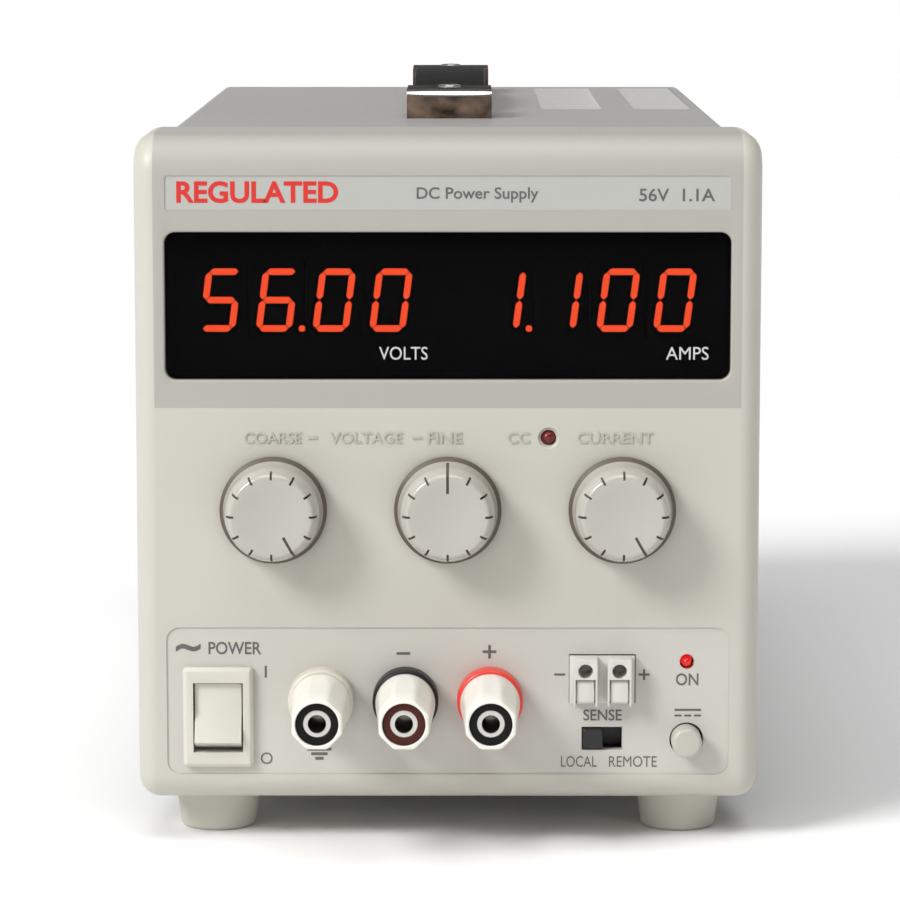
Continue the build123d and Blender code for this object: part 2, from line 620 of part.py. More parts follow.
with BuildPart() as power_switch_frame:
    slab(SWITCH_FACE, SWITCH_PROUD, SWITCH_X, SWITCH_Z, SWITCH_FLANGE[0], SWITCH_FLANGE[1], 1.0)
    chamfer(power_switch_frame.faces().sort_by(Axis.Y)[0].edges(), length=0.8)
    slab(OVERLAY_FACE, SWITCH_BODY_DEPTH, SWITCH_X, SWITCH_Z, HOUSING[0], HOUSING[1])
    slab(
        SWITCH_FACE - 1,
        PIVOT_DEPTH + 6.5 - SWITCH_FACE + 1,
        SWITCH_X,
        SWITCH_Z,
        SWITCH_OPENING[0],
        SWITCH_OPENING[1],
        mode=Mode.SUBTRACT,
    )
    with BuildSketch(Plane.YZ.offset(SWITCH_X - SWITCH_OPENING[0] / 2 - PIVOT_PIN_BITE)):
        with Locations((FRONT_Y + PIVOT_DEPTH, SWITCH_Z)):
            Circle(PIVOT_PIN_R + RUN_GAP)
    extrude(amount=SWITCH_OPENING[0] + 2 * PIVOT_PIN_BITE, mode=Mode.SUBTRACT)
save(power_switch_frame, "power_switch_frame")


def rocker_corner(up, out):
    """A corner given with the top pressed in, turned back to the level position."""
    tilt = math.radians(ROCKER_TILT)
    return up * math.cos(tilt) - out * math.sin(tilt), up * math.sin(tilt) + out * math.cos(tilt)


with BuildPart() as power_rocker:
    tip = rocker_corner(ROCKER_REACH, ROCKER_FACE)
    heel = rocker_corner(ROCKER_REACH, -1.0)
    valley = ROCKER_FACE / math.cos(math.radians(ROCKER_TILT))
    half_outline = [tip, heel, (4.5, -3.0)]
    lean = math.radians(ROCKER_TILT)
    rocker_width = SWITCH_OPENING[0] - 2 * MOVE_GAP
    rest_plane = Plane(
        origin=(SWITCH_X - rocker_width / 2, FRONT_Y + PIVOT_DEPTH, SWITCH_Z),
        x_dir=(0, math.sin(lean), math.cos(lean)),
        z_dir=(1, 0, 0),
    )
    with BuildSketch(rest_plane):
        with BuildLine():
            Polyline((0, valley), *half_outline, *[(-u, w) for u, w in reversed(half_outline)], close=True)
        make_face()
    extrude(amount=rocker_width)
    pin_plane = Plane.YZ.offset(SWITCH_X - SWITCH_OPENING[0] / 2 - PIVOT_PIN_BITE + 0.1)
    with BuildSketch(pin_plane):
        with Locations((FRONT_Y + PIVOT_DEPTH, SWITCH_Z)):
            Circle(PIVOT_PIN_R)
    extrude(amount=SWITCH_OPENING[0] + 2 * (PIVOT_PIN_BITE - 0.1))
save(power_rocker, "power_rocker")

# ---------------------------------------------------------------- binding posts
COLLAR_FACE = OVERLAY_FACE - COLLAR_HEIGHT
CAP_REAR = COLLAR_FACE - 0.3
SOCKET_TIP = -POST_REACH + 1.0
SPIGOT_END = SUBPANEL_DEPTH + SHEET + 0.8
NUT_HEIGHT = 5.0

with BuildPart() as post_sockets:
    for post_x in POST_XS:
        rod(SOCKET_TIP, SPIGOT_END + NUT_HEIGHT + 4.0 - SOCKET_TIP, post_x, POST_Z, SOCKET_R)
        rod(SOCKET_TIP - 1, SOCKET_BORE_DEPTH + 1, post_x, POST_Z, SOCKET_BORE_R, Mode.SUBTRACT)
save(post_sockets, "post_sockets")

with BuildPart() as post_rear_nuts:
    for post_x in POST_XS:
        with BuildSketch(facing(SPIGOT_END)):
            with Locations((post_x, POST_Z)):
                RegularPolygon(radius=5.0, side_count=6, major_radius=False)
                Circle(SOCKET_R + RUN_GAP, mode=Mode.SUBTRACT)
        extrude(amount=-NUT_HEIGHT)
save(post_rear_nuts, "post_rear_nuts")

for post_name, post_x in zip(("earth", "negative", "positive"), POST_XS):
    with BuildPart() as collar:
        rod(COLLAR_FACE, COLLAR_HEIGHT, post_x, POST_Z, COLLAR_R)
        fillet(collar.edges().filter_by(GeomType.CIRCLE).sort_by(Axis.Y)[0], radius=0.8)
        rod(OVERLAY_FACE, SPIGOT_END - OVERLAY_FACE, post_x, POST_Z, SPIGOT_R)
        rod(COLLAR_FACE - 1, SPIGOT_END + COLLAR_HEIGHT + 2, post_x, POST_Z, SOCKET_R + RUN_GAP, Mode.SUBTRACT)
    save(collar, f"{post_name}_collar")

    with BuildPart() as clamp_bush:
        bush_tip = -POST_REACH + 0.6
        rod(bush_tip, CAP_REAR - 0.4 - bush_tip, post_x, POST_Z, BUSH_R)
        rod(bush_tip - 1, POST_REACH, post_x, POST_Z, SOCKET_R + RUN_GAP, Mode.SUBTRACT)
    save(clamp_bush, f"{post_name}_clamp_bush")

    with BuildPart() as cap:
        with BuildSketch(turned(post_x, POST_Z)):
            with BuildLine():
                Polyline(
                    (BUSH_R + RUN_GAP, -CAP_REAR),
                    (CAP_REAR_R, -CAP_REAR),
                    (CAP_REAR_R, -CAP_REAR + 4.0),
                    (CAP_FRONT_R + 0.3, POST_REACH - 0.6),
                    (CAP_FRONT_R - 0.3, POST_REACH),
                    (BUSH_R + RUN_GAP, POST_REACH),
                    close=True,
                )
            make_face()
        revolve(axis=front_axis(post_x, POST_Z))
    save(cap, f"{post_name}_cap")

# ---------------------------------------------------------------- sense terminals
BLOCK_STEP = OVERLAY_FACE - 1.2  # face of the block between its columns
BLOCK_BACK = SUBPANEL_DEPTH + SHEET + 3.0
SENSE_FACE = -SENSE_PROUD
LEVER_HEIGHT = 4.4
LEVER_WIDTH = SENSE_COLUMN - 0.5
LEVER_SHEET = 2.0
LEVER_PIVOT_Z = SENSE_Z - SENSE_BLOCK[1] / 2 + 1.4
LEVER_PIVOT_DEPTH = SENSE_FACE + 1.6
LEVER_POCKET_DEPTH = 5.5
HOLE_Z = SENSE_Z + 2.6
SENSE_XS = [SENSE_X - SENSE_PITCH / 2, SENSE_X + SENSE_PITCH / 2]

with BuildPart() as sense_terminal_block:
    slab(BLOCK_STEP, BLOCK_BACK - BLOCK_STEP, SENSE_X, SENSE_Z, SENSE_BLOCK[0], SENSE_BLOCK[1])
    for column_x in SENSE_XS:
        slab(SENSE_FACE, BLOCK_STEP - SENSE_FACE, column_x, SENSE_Z, SENSE_COLUMN + 1.0, SENSE_BLOCK[1])
        slab(
            SENSE_FACE - 1,
            LEVER_POCKET_DEPTH + 1,
            column_x,
            LEVER_PIVOT_Z + LEVER_HEIGHT / 2 - 0.9,
            LEVER_WIDTH + 2 * MOVE_GAP,
            LEVER_HEIGHT + 2.4,
            mode=Mode.SUBTRACT,
        )
        rod(SENSE_FACE - 1, 9.0, column_x, HOLE_Z, WIRE_HOLE_R, Mode.SUBTRACT)
save(sense_terminal_block, "sense_terminal_block")

for lever_name, column_x in zip(("minus", "plus"), SENSE_XS):
    with BuildPart() as lever:
        lever_plane = Plane(
            origin=(column_x - LEVER_WIDTH / 2, FRONT_Y + LEVER_PIVOT_DEPTH, LEVER_PIVOT_Z),
            x_dir=(0, 1, 0),
            z_dir=(1, 0, 0),
        )
        with BuildSketch(lever_plane):
            Circle(LEVER_SHEET / 2)
            with BuildLine():
                Polyline(
                    (-LEVER_SHEET / 2, 0),
                    (-LEVER_SHEET / 2, LEVER_HEIGHT - 0.6),
                    (-LEVER_SHEET / 2 + 0.6, LEVER_HEIGHT),
                    (LEVER_SHEET / 2, LEVER_HEIGHT),
                    (LEVER_SHEET / 2, 0),
                    close=True,
                )
            make_face()
        extrude(amount=LEVER_WIDTH)
    save(lever, f"{lever_name}_lever")

# ---------------------------------------------------------------- sense slide switch
SLIDE_CASE_DEPTH = FOLD_SETBACK + BEZEL_WALL
SLIDER_X = SENSE_X - SLIDE_SLOT[0] / 2 + 0.3 + SLIDER_WIDTH / 2

with BuildPart() as sense_switch_case:
    slab(SLIDE_CASE_DEPTH, POT_BACK - SLIDE_CASE_DEPTH, SENSE_X, SLIDE_Z, SLIDE_SLOT[0] + 3, SLIDE_SLOT[1] + 2)
    slab(SLIDE_CASE_DEPTH - 1, 4.0, SENSE_X, SLIDE_Z, SLIDE_SLOT[0], SLIDE_SLOT[1], mode=Mode.SUBTRACT)
save(sense_switch_case, "sense_switch_case")

with BuildPart() as sense_slider:
    slab(-0.4, SLIDE_CASE_DEPTH + 3.0, SLIDER_X, SLIDE_Z, SLIDER_WIDTH, SLIDE_SLOT[1] - 2 * MOVE_GAP)
    chamfer(sense_slider.faces().sort_by(Axis.Y)[0].edges(), length=0.4)
save(sense_slider, "sense_slider")

# ---------------------------------------------------------------- output switch
STEM_R = 2.0
STEM_END = SUBPANEL_DEPTH + SHEET + 2.5

with BuildPart() as output_button:
    rod(-OUTPUT_BUTTON_PROUD, 8.0, OUTPUT_X, OUTPUT_Z, OUTPUT_BUTTON_R)
    fillet(output_button.edges().filter_by(GeomType.CIRCLE).sort_by(Axis.Y)[0], radius=0.9)
    rod(-OUTPUT_BUTTON_PROUD + 8.0, STEM_END + OUTPUT_BUTTON_PROUD - 8.0, OUTPUT_X, OUTPUT_Z, STEM_R)
save(output_button, "output_button")

with BuildPart() as output_switch_case:
    case_front = SUBPANEL_DEPTH + SHEET
    slab(case_front, POT_BACK - case_front, OUTPUT_X, OUTPUT_Z, 10.0, 10.0)
    rod(case_front - 1, 1 + 2.5 + OUTPUT_TRAVEL + 0.5, OUTPUT_X, OUTPUT_Z, STEM_R + RUN_GAP, Mode.SUBTRACT)
save(output_switch_case, "output_switch_case")

# ---------------------------------------------------------------- case
TRAY_FROM = SUBPANEL_DEPTH + SHEET + 0.3

with BuildPart() as chassis_tray:
    tray_length = PANEL_DEPTH - SHEET - TRAY_FROM
    tray_middle = TRAY_FROM + tray_length / 2
    block(0, tray_middle, INNER_FLOOR, (2 * TRAY_HALF, tray_length, SHEET))
    for side in (-1, 1):
        flange_x = side * (TRAY_HALF - SHEET / 2)
        block(flange_x, tray_middle, INNER_FLOOR, (SHEET, tray_length, FLANGE_HEIGHT))
    fillet(chassis_tray.edges().filter_by(Axis.Y).group_by(Axis.Z)[0], radius=TRAY_BEND)
    # Air slots under the transformer and the board
    with BuildSketch(Plane.XY.offset(INNER_FLOOR)):
        with Locations((0, FRONT_Y + BOARD_MIDDLE)):
            with GridLocations(30.0, 8.0, 3, 10):
                SlotOverall(22.0, 3.0)
    extrude(amount=SHEET, mode=Mode.SUBTRACT)
    column(0, TRANSFORMER_DEPTH, INNER_FLOOR, BOLT_R + FIT_GAP, SHEET, Mode.SUBTRACT)
    for foot_depth in FOOT_DEPTHS:
        for side in (-1, 1):
            column(side * FOOT_X, foot_depth, INNER_FLOOR, SCREW_R + RUN_GAP, SHEET, Mode.SUBTRACT)
    for screw_depth in SIDE_SCREW_DEPTHS:
        with BuildSketch(Plane.YZ.offset(-TRAY_HALF)):
            with Locations((FRONT_Y + screw_depth, SIDE_SCREW_Z)):
                Circle(SCREW_R + RUN_GAP)
        extrude(amount=2 * TRAY_HALF, mode=Mode.SUBTRACT)
save(chassis_tray, "chassis_tray")

with BuildPart() as rear_panel:
    low, high = INNER_FLOOR, COVER_TOP - SHEET - FIT_GAP
    slab(PANEL_DEPTH - SHEET, SHEET, 0, (low + high) / 2, 2 * TRAY_HALF, high - low, TRAY_BEND)
    slab(
        PANEL_DEPTH - 3,
        6,
        INLET_X,
        INLET_Z,
        INLET_BODY[0] + 2 * FIT_GAP,
        INLET_BODY[1] + 2 * FIT_GAP,
        mode=Mode.SUBTRACT,
    )
    slab(PANEL_DEPTH - 3, 6, 0, HEATSINK_Z, HEATSINK_SIZE[0] - 24.0, 30.0, mode=Mode.SUBTRACT)
    for side in (-1, 1):
        rod(PANEL_DEPTH - 3, 6, INLET_X + side * INLET_SCREW_X, INLET_Z, SCREW_R + RUN_GAP, Mode.SUBTRACT)
        for rise in (-1, 1):
            hole_x = side * HEATSINK_SCREWS[0] / 2
            hole_z = HEATSINK_Z + rise * HEATSINK_SCREWS[1] / 2
            rod(PANEL_DEPTH - 3, 6, hole_x, hole_z, SCREW_R + FIT_GAP, Mode.SUBTRACT)
save(rear_panel, "rear_panel")


with BuildPart() as top_cover:
    with BuildSketch(facing(COVER_START)) as outer_section:
        with Locations((0, (COVER_LOW + COVER_TOP) / 2)):
            Rectangle(2 * COVER_HALF, COVER_TOP - COVER_LOW)
        fillet(outer_section.vertices().group_by(Axis.Y)[-1], radius=COVER_BEND)
    extrude(amount=-(CASE_DEPTH - COVER_START))
    with BuildSketch(facing(COVER_START)) as inner_section:
        with Locations((0, (COVER_LOW - 1 + COVER_TOP - SHEET) / 2)):
            Rectangle(2 * (COVER_HALF - SHEET), COVER_TOP - SHEET - COVER_LOW + 1)
        fillet(inner_section.vertices().group_by(Axis.Y)[-1], radius=COVER_BEND - SHEET)
    extrude(amount=-(CASE_DEPTH - COVER_START), mode=Mode.SUBTRACT)
    # Two columns of air slots in the roof
    with BuildSketch(Plane.XY.offset(COVER_TOP - SHEET)):
        for vent_x in VENT_COLUMNS_X:
            with Locations((vent_x, FRONT_Y + VENT_FROM + (VENT_ROWS - 1) * VENT_PITCH / 2)):
                with GridLocations(1, VENT_PITCH, 1, VENT_ROWS):
                    SlotOverall(*VENT_SLOT)
    extrude(amount=SHEET, mode=Mode.SUBTRACT)
    for cap_depth in END_CAP_DEPTHS:
        column(0, cap_depth, COVER_TOP - SHEET, SCREW_R + RUN_GAP, SHEET, Mode.SUBTRACT)
    for screw_depth in SIDE_SCREW_DEPTHS:
        with BuildSketch(Plane.YZ.offset(-COVER_HALF)):
            with Locations((FRONT_Y + screw_depth, SIDE_SCREW_Z)):
                Circle(SCREW_R + FIT_GAP)
        extrude(amount=2 * COVER_HALF, mode=Mode.SUBTRACT)
save(top_cover, "top_cover")

# ---------------------------------------------------------------- handle
STRAP_LOW = COVER_TOP + 0.4
STRAP_ENDS = (HANDLE_FROM + 3.5, HANDLE_FROM + HANDLE_LENGTH - 3.5)
ARCH_ENDS = (HANDLE_FROM + END_CAP[1], HANDLE_FROM + HANDLE_LENGTH - END_CAP[1])

with BuildPart() as handle_strap:
    y_points = [FRONT_Y + d for d in (STRAP_ENDS[0], ARCH_ENDS[0], HANDLE_MIDDLE, ARCH_ENDS[1], STRAP_ENDS[1])]
    top = STRAP_LOW + STRAP_SHEET
    with BuildSketch(Plane.YZ.offset(-STRAP_WIDTH / 2)):
        with BuildLine():
            Line((y_points[0], STRAP_LOW), (y_points[1], STRAP_LOW))
            ThreePointArc(
                (y_points[1], STRAP_LOW), (y_points[2], STRAP_LOW + STRAP_RISE), (y_points[3], STRAP_LOW)
            )
            Polyline(
                (y_points[3], STRAP_LOW), (y_points[4], STRAP_LOW), (y_points[4], top), (y_points[3], top)
            )
            ThreePointArc((y_points[3], top), (y_points[2], top + STRAP_RISE), (y_points[1], top))
            Polyline((y_points[1], top), (y_points[0], top), (y_points[0], STRAP_LOW))
        make_face()
    extrude(amount=STRAP_WIDTH)
    for cap_depth in END_CAP_DEPTHS:
        # The strap's end holes are slots, so that it can bow up when it is lifted
        with BuildSketch(Plane.XY.offset(STRAP_LOW - 1)):
            with Locations((0, FRONT_Y + cap_depth)):
                SlotOverall(8.0, 2 * (SCREW_R + 0.5), rotation=90)
        extrude(amount=STRAP_SHEET + 2, mode=Mode.SUBTRACT)
save(handle_strap, "handle_strap")

with BuildPart() as handle_end_caps:
    for cap_depth in END_CAP_DEPTHS:
        block(0, cap_depth, COVER_TOP, END_CAP)
    fillet(handle_end_caps.edges().filter_by(Axis.X).group_by(Axis.Z)[-1].sort_by(Axis.Y)[0], radius=2.5)
    fillet(handle_end_caps.edges().filter_by(Axis.X).group_by(Axis.Z)[-1].sort_by(Axis.Y)[-1], radius=2.5)
    for cap_depth, inward in zip(END_CAP_DEPTHS, (1, -1)):
        hollow = (STRAP_WIDTH + 2 * FIT_GAP, END_CAP[1] - 2.0, STRAP_SHEET + 0.4 + FIT_GAP)
        block(0, cap_depth + inward * 1.0, COVER_TOP, hollow, Mode.SUBTRACT)
        column(0, cap_depth, COVER_TOP, SCREW_R + FIT_GAP, END_CAP[2] + 1, Mode.SUBTRACT)
save(handle_end_caps, "handle_end_caps")

# ---------------------------------------------------------------- feet
with BuildPart() as feet:
    for foot_depth, foot_top in ((FRONT_FOOT_DEPTH, FOOT_HEIGHT), (REAR_FOOT_DEPTH, INNER_FLOOR)):
        for side in (-1, 1):
            with BuildSketch(Plane.XY):
                with Locations((side * FOOT_X, FRONT_Y + foot_depth)):
                    Circle(FOOT_BASE_R)
            with BuildSketch(Plane.XY.offset(foot_top)):
                with Locations((side * FOOT_X, FRONT_Y + foot_depth)):
                    Circle(FOOT_TOP_R)
            loft()
    fillet(feet.edges().filter_by(GeomType.CIRCLE).group_by(Axis.Z)[0], radius=1.0)
    for foot_depth in FOOT_DEPTHS:
        for side in (-1, 1):
            column(side * FOOT_X, foot_depth, 0, SCREW_HEAD_R + 0.7, FOOT_HEIGHT - 5.0, Mode.SUBTRACT)
            column(side * FOOT_X, foot_depth, 0, SCREW_R + FIT_GAP, INNER_FLOOR, Mode.SUBTRACT)
save(feet, "feet")

# ---------------------------------------------------------------- fasteners
with BuildPart() as case_screws:
    for side in (-1, 1):
        for screw_depth in SIDE_SCREW_DEPTHS:
            side_point = (side * COVER_HALF, FRONT_Y + screw_depth, SIDE_SCREW_Z)
            screw(Plane(origin=side_point, z_dir=(side, 0, 0)), 6.0)
        for foot_depth in FOOT_DEPTHS:
            head_z = FOOT_HEIGHT - 5.0
            foot_point = (side * FOOT_X, FRONT_Y + foot_depth, head_z)
            screw(Plane(origin=foot_point, z_dir=(0, 0, -1)), TRAY_TOP + 2.0 - head_z)
        for rise in (-1, 1):
            screw_x = side * HEATSINK_SCREWS[0] / 2
            screw_z = HEATSINK_Z + rise * HEATSINK_SCREWS[1] / 2
            head_y = FRONT_Y + PANEL_DEPTH - SHEET
            screw(Plane(origin=(screw_x, head_y, screw_z), z_dir=(0, -1, 0)), SHEET + HEATSINK_BASE - 1)
        inlet_point = (INLET_X + side * INLET_SCREW_X, FRONT_Y + INLET_FACE, INLET_Z)
        screw(Plane(origin=inlet_point, z_dir=(0, 1, 0)), 6.0)
    for screw_x, screw_z in SUBPANEL_SCREWS:
        head_y = FRONT_Y + SUBPANEL_DEPTH + SHEET
        screw(Plane(origin=(screw_x, head_y, screw_z), z_dir=(0, 1, 0)), 5.0)
    for cap_depth in END_CAP_DEPTHS:
        cap_point = (0, FRONT_Y + cap_depth, COVER_TOP + END_CAP[2])
        screw(Plane(origin=cap_point, z_dir=(0, 0, 1)), END_CAP[2] + SHEET + 2.0)
save(case_screws, "case_screws")

# ---------------------------------------------------------------- heatsink and its transistors
with BuildPart() as heatsink:
    low = HEATSINK_Z - HEATSINK_SIZE[1] / 2
    block(0, PANEL_DEPTH + HEATSINK_BASE / 2, low, (HEATSINK_SIZE[0], HEATSINK_BASE, HEATSINK_SIZE[1]))
    fin_length = CASE_DEPTH + HEATSINK_REACH - PANEL_DEPTH
    fin_count = int((HEATSINK_SIZE[0] - FIN_SHEET) / FIN_PITCH) + 1
    with BuildSketch(Plane.XY.offset(low)):
        with Locations((0, FRONT_Y + PANEL_DEPTH + fin_length / 2)):
            with GridLocations(FIN_PITCH, 1, fin_count, 1):
                Rectangle(FIN_SHEET, fin_length)
    extrude(amount=HEATSINK_SIZE[1])
    for side in (-1, 1):
        for rise in (-1, 1):
            hole_x = side * HEATSINK_SCREWS[0] / 2
            hole_z = HEATSINK_Z + rise * HEATSINK_SCREWS[1] / 2
            rod(PANEL_DEPTH, HEATSINK_BASE, hole_x, hole_z, SCREW_R + RUN_GAP, Mode.SUBTRACT)
save(heatsink, "heatsink")

with BuildPart() as power_transistors:
    for index in range(4):
        device_x = (index - 1.5) * 22.0
        slab(PANEL_DEPTH - 5.0, 5.0, device_x, HEATSINK_Z, 16.0, 21.0, 0.6)
        for leg in (-1, 0, 1):
            slab(PANEL_DEPTH - 3.2, 0.8, device_x + leg * 5.4, HEATSINK_Z - 14.5, 1.2, 9.0)
save(power_transistors, "power_transistors")

# ---------------------------------------------------------------- mains inlet
INLET_BACK = INLET_FACE - 24.0
CAVITY_Z = INLET_Z + INLET_CAVITY_UP
FUSE_Z = INLET_Z - FUSE_SLOT_DOWN

with BuildPart() as mains_inlet:
    slab(PANEL_DEPTH, INLET_FACE - PANEL_DEPTH, INLET_X, INLET_Z, INLET_FLANGE[0], INLET_FLANGE[1], 4.0)
    slab(INLET_BACK, PANEL_DEPTH - INLET_BACK, INLET_X, INLET_Z, INLET_BODY[0], INLET_BODY[1])
    cavity_from = INLET_FACE - INLET_CAVITY_DEPTH
    slab(
        cavity_from,
        INLET_CAVITY_DEPTH + 1,
        INLET_X,
        CAVITY_Z,
        INLET_CAVITY[0],
        INLET_CAVITY[1],
        1.5,
        Mode.SUBTRACT,
    )
    slab(INLET_FACE - 21.0, 22.0, INLET_X, FUSE_Z, FUSE_SLOT[0], FUSE_SLOT[1], mode=Mode.SUBTRACT)
    for side in (-1, 1):
        rod(PANEL_DEPTH - 1, 8, INLET_X + side * INLET_SCREW_X, INLET_Z, SCREW_R + FIT_GAP, Mode.SUBTRACT)
    for pin_x, pin_z in ((-7.0, -1.8), (7.0, -1.8), (0.0, 2.2)):
        slab(INLET_BACK, 10.0, INLET_X + pin_x, CAVITY_Z + pin_z, 2.0, 4.0, mode=Mode.SUBTRACT)
save(mains_inlet, "mains_inlet")

with BuildPart() as inlet_pins:
    for pin_x, pin_z in ((-7.0, -1.8), (7.0, -1.8), (0.0, 2.2)):
        slab(
            INLET_BACK - 6.0,
            INLET_FACE - 2.0 - INLET_BACK + 6.0,
            INLET_X + pin_x,
            CAVITY_Z + pin_z,
            2.0,
            4.0,
        )
save(inlet_pins, "inlet_pins")

with BuildPart() as fuse_drawer:
    drawer_size = (FUSE_SLOT[0] - 2 * MOVE_GAP, FUSE_SLOT[1] - 2 * MOVE_GAP)
    slab(INLET_FACE - 20.5, 21.0, INLET_X, FUSE_Z, drawer_size[0], drawer_size[1], 0.5)
    # Finger lip on its outer end, and the trough for the fuse
    slab(INLET_FACE + 0.5, 1.2, INLET_X, FUSE_Z + drawer_size[1] / 2 - 0.8, 10.0, 1.6)
    block(
        INLET_X,
        INLET_FACE - 10.0,
        FUSE_Z - 1.5,
        (20.5, 5.6, drawer_size[1]),
        Mode.SUBTRACT,
    )
save(fuse_drawer, "fuse_drawer")

# ---------------------------------------------------------------- inside the case
with BuildPart() as transformer_winding:
    column(0, TRANSFORMER_DEPTH, TRAY_TOP, WINDING_R, WINDING_HEIGHT)
    column(0, TRANSFORMER_DEPTH, TRAY_TOP, WINDING_HOLE_R, WINDING_HEIGHT, Mode.SUBTRACT)
    fillet(transformer_winding.edges().filter_by(GeomType.CIRCLE), radius=7.0)
save(transformer_winding, "transformer_winding")

WINDING_TOP = TRAY_TOP + WINDING_HEIGHT
with BuildPart() as transformer_clamp_washer:
    column(0, TRANSFORMER_DEPTH, WINDING_TOP, WINDING_R - 14.0, 2.0)
    column(0, TRANSFORMER_DEPTH, WINDING_TOP, BOLT_R + FIT_GAP, 2.0, Mode.SUBTRACT)
save(transformer_clamp_washer, "transformer_clamp_washer")

with BuildPart() as transformer_bolt:
    column(0, TRANSFORMER_DEPTH, INNER_FLOOR, BOLT_R, WINDING_TOP + 2.0 - INNER_FLOOR)
    with BuildSketch(Plane.XY.offset(WINDING_TOP + 2.0)):
        with Locations((0, FRONT_Y + TRANSFORMER_DEPTH)):
            RegularPolygon(radius=6.5, side_count=6, major_radius=False)
    extrude(amount=5.3)
save(transformer_bolt, "transformer_bolt")

SPACER_XS = (-(BOARD_WIDTH / 2 - 6.0), BOARD_WIDTH / 2 - 6.0)
SPACER_DEPTHS = (MAIN_BOARD_FROM + 6.0, BOARD_MIDDLE, MAIN_BOARD_FROM + MAIN_BOARD_LENGTH - 6.0)
with BuildPart() as board_spacers:
    for spacer_x in SPACER_XS:
        for spacer_depth in SPACER_DEPTHS:
            column(spacer_x, spacer_depth, TRAY_TOP, 3.0, SPACER_HEIGHT)
save(board_spacers, "board_spacers")

with BuildPart() as main_board:
    block(0, BOARD_MIDDLE, BOARD_Z, (BOARD_WIDTH, MAIN_BOARD_LENGTH, BOARD))
save(main_board, "main_board")

CAPACITORS = (
    # x, distance along the board, radius, height
    (38.0, 20.0, 15.0, 46.0),
    (38.0, 55.0, 15.0, 46.0),
    (4.0, 16.0, 9.0, 36.0),
    (4.0, 40.0, 9.0, 36.0),
)
with BuildPart() as smoothing_capacitors:
    for can_x, along, can_r, can_height in CAPACITORS:
        column(can_x, MAIN_BOARD_FROM + along, BOARD_TOP, can_r, can_height)
    fillet(smoothing_capacitors.edges().filter_by(GeomType.CIRCLE).group_by(Axis.Z)[-1], radius=1.5)
save(smoothing_capacitors, "smoothing_capacitors")

COMPONENTS = (
    # x, distance along the board, width, length, height
    (-34.0, 18.0, 29.0, 13.0, 16.0),
    (-34.0, 36.0, 29.0, 13.0, 16.0),
    (-34.0, 54.0, 29.0, 13.0, 16.0),
    (-6.0, 64.0, 22.0, 6.0, 20.0),
    (24.0, 86.0, 20.0, 8.0, 7.0),
    (-12.0, 86.0, 12.0, 9.0, 5.0),
)
with BuildPart() as board_components:
    for part_x, along, part_width, part_length, part_height in COMPONENTS:
        block(part_x, MAIN_BOARD_FROM + along, BOARD_TOP, (part_width, part_length, part_height))
save(board_components, "board_components")

# Ribbon from the display board over the top of the control board and down its back
with BuildPart() as display_ribbon:
    ribbon_from = DISPLAY_BOARD_DEPTH + BOARD
    ribbon_back = CONTROL_BOARD_BACK + 5.0
    ribbon_high = DIGIT_Z - 4.0
    ribbon_low = upper_high - 8.0
    with BuildSketch(Plane.YZ.offset(-12.0)):
        with BuildLine():
            FilletPolyline(
                (FRONT_Y + ribbon_from, ribbon_high),
                (FRONT_Y + ribbon_back, ribbon_high),
                (FRONT_Y + ribbon_back, ribbon_low),
                (FRONT_Y + CONTROL_BOARD_BACK, ribbon_low),
                (FRONT_Y + CONTROL_BOARD_BACK, ribbon_low + 1.0),
                (FRONT_Y + ribbon_back - 1.0, ribbon_low + 1.0),
                (FRONT_Y + ribbon_back - 1.0, ribbon_high - 1.0),
                (FRONT_Y + ribbon_from, ribbon_high - 1.0),
                close=True,
                radius=[0, 2.0, 2.0, 0, 0, 1.0, 1.0, 0],
            )
        make_face()
    extrude(amount=24.0)
save(display_ribbon, "display_ribbon")
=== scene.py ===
"""Looks of a bench power supply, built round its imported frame.

Metres, in the frame's own axes: +X is the user's right, +Y is the back, +Z is up. Sizes in
tables and properties are written in millimetres and multiplied by MM.
"""

import json
import math

import bpy
from bpy.props import FloatProperty, FloatVectorProperty, PointerProperty
from mathutils import Matrix, Vector


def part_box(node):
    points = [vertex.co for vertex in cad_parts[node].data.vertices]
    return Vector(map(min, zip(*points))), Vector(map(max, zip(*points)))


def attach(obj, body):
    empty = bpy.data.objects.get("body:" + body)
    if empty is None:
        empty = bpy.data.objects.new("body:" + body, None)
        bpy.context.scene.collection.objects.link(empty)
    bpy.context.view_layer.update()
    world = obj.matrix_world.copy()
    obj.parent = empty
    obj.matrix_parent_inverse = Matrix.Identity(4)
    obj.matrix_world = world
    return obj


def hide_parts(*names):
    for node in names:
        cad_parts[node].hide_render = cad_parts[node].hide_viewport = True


bl_info = {
    "name": "Bench Power Supply",
    "version": (1, 0, 0),
    "blender": (4, 5, 0),
    "location": "3D Viewport > Sidebar > Supply",
    "description": "Builds the looks of a bench power supply round its packed frame",
    "category": "Object",
}

MM = 0.001
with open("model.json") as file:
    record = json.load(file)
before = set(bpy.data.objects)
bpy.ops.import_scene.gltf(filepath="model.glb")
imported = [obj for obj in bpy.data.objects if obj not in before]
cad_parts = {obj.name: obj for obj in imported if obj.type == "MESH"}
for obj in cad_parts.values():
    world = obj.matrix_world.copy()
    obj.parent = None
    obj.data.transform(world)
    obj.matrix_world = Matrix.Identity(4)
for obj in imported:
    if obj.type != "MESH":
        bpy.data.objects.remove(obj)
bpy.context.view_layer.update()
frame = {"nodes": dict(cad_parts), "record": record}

BODIES = frame["record"]["behaviour"]["bodies"]
BODY_OF = {name: body for body, names in BODIES.items() for name in names}
SLOT_OF = {part["node"]: part["material_slot"] for part in frame["record"]["subparts"]}
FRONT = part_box("front_bezel")[0].y  # the bezel's frontmost face
OUT = Vector((0, -1, 0))  # towards the user
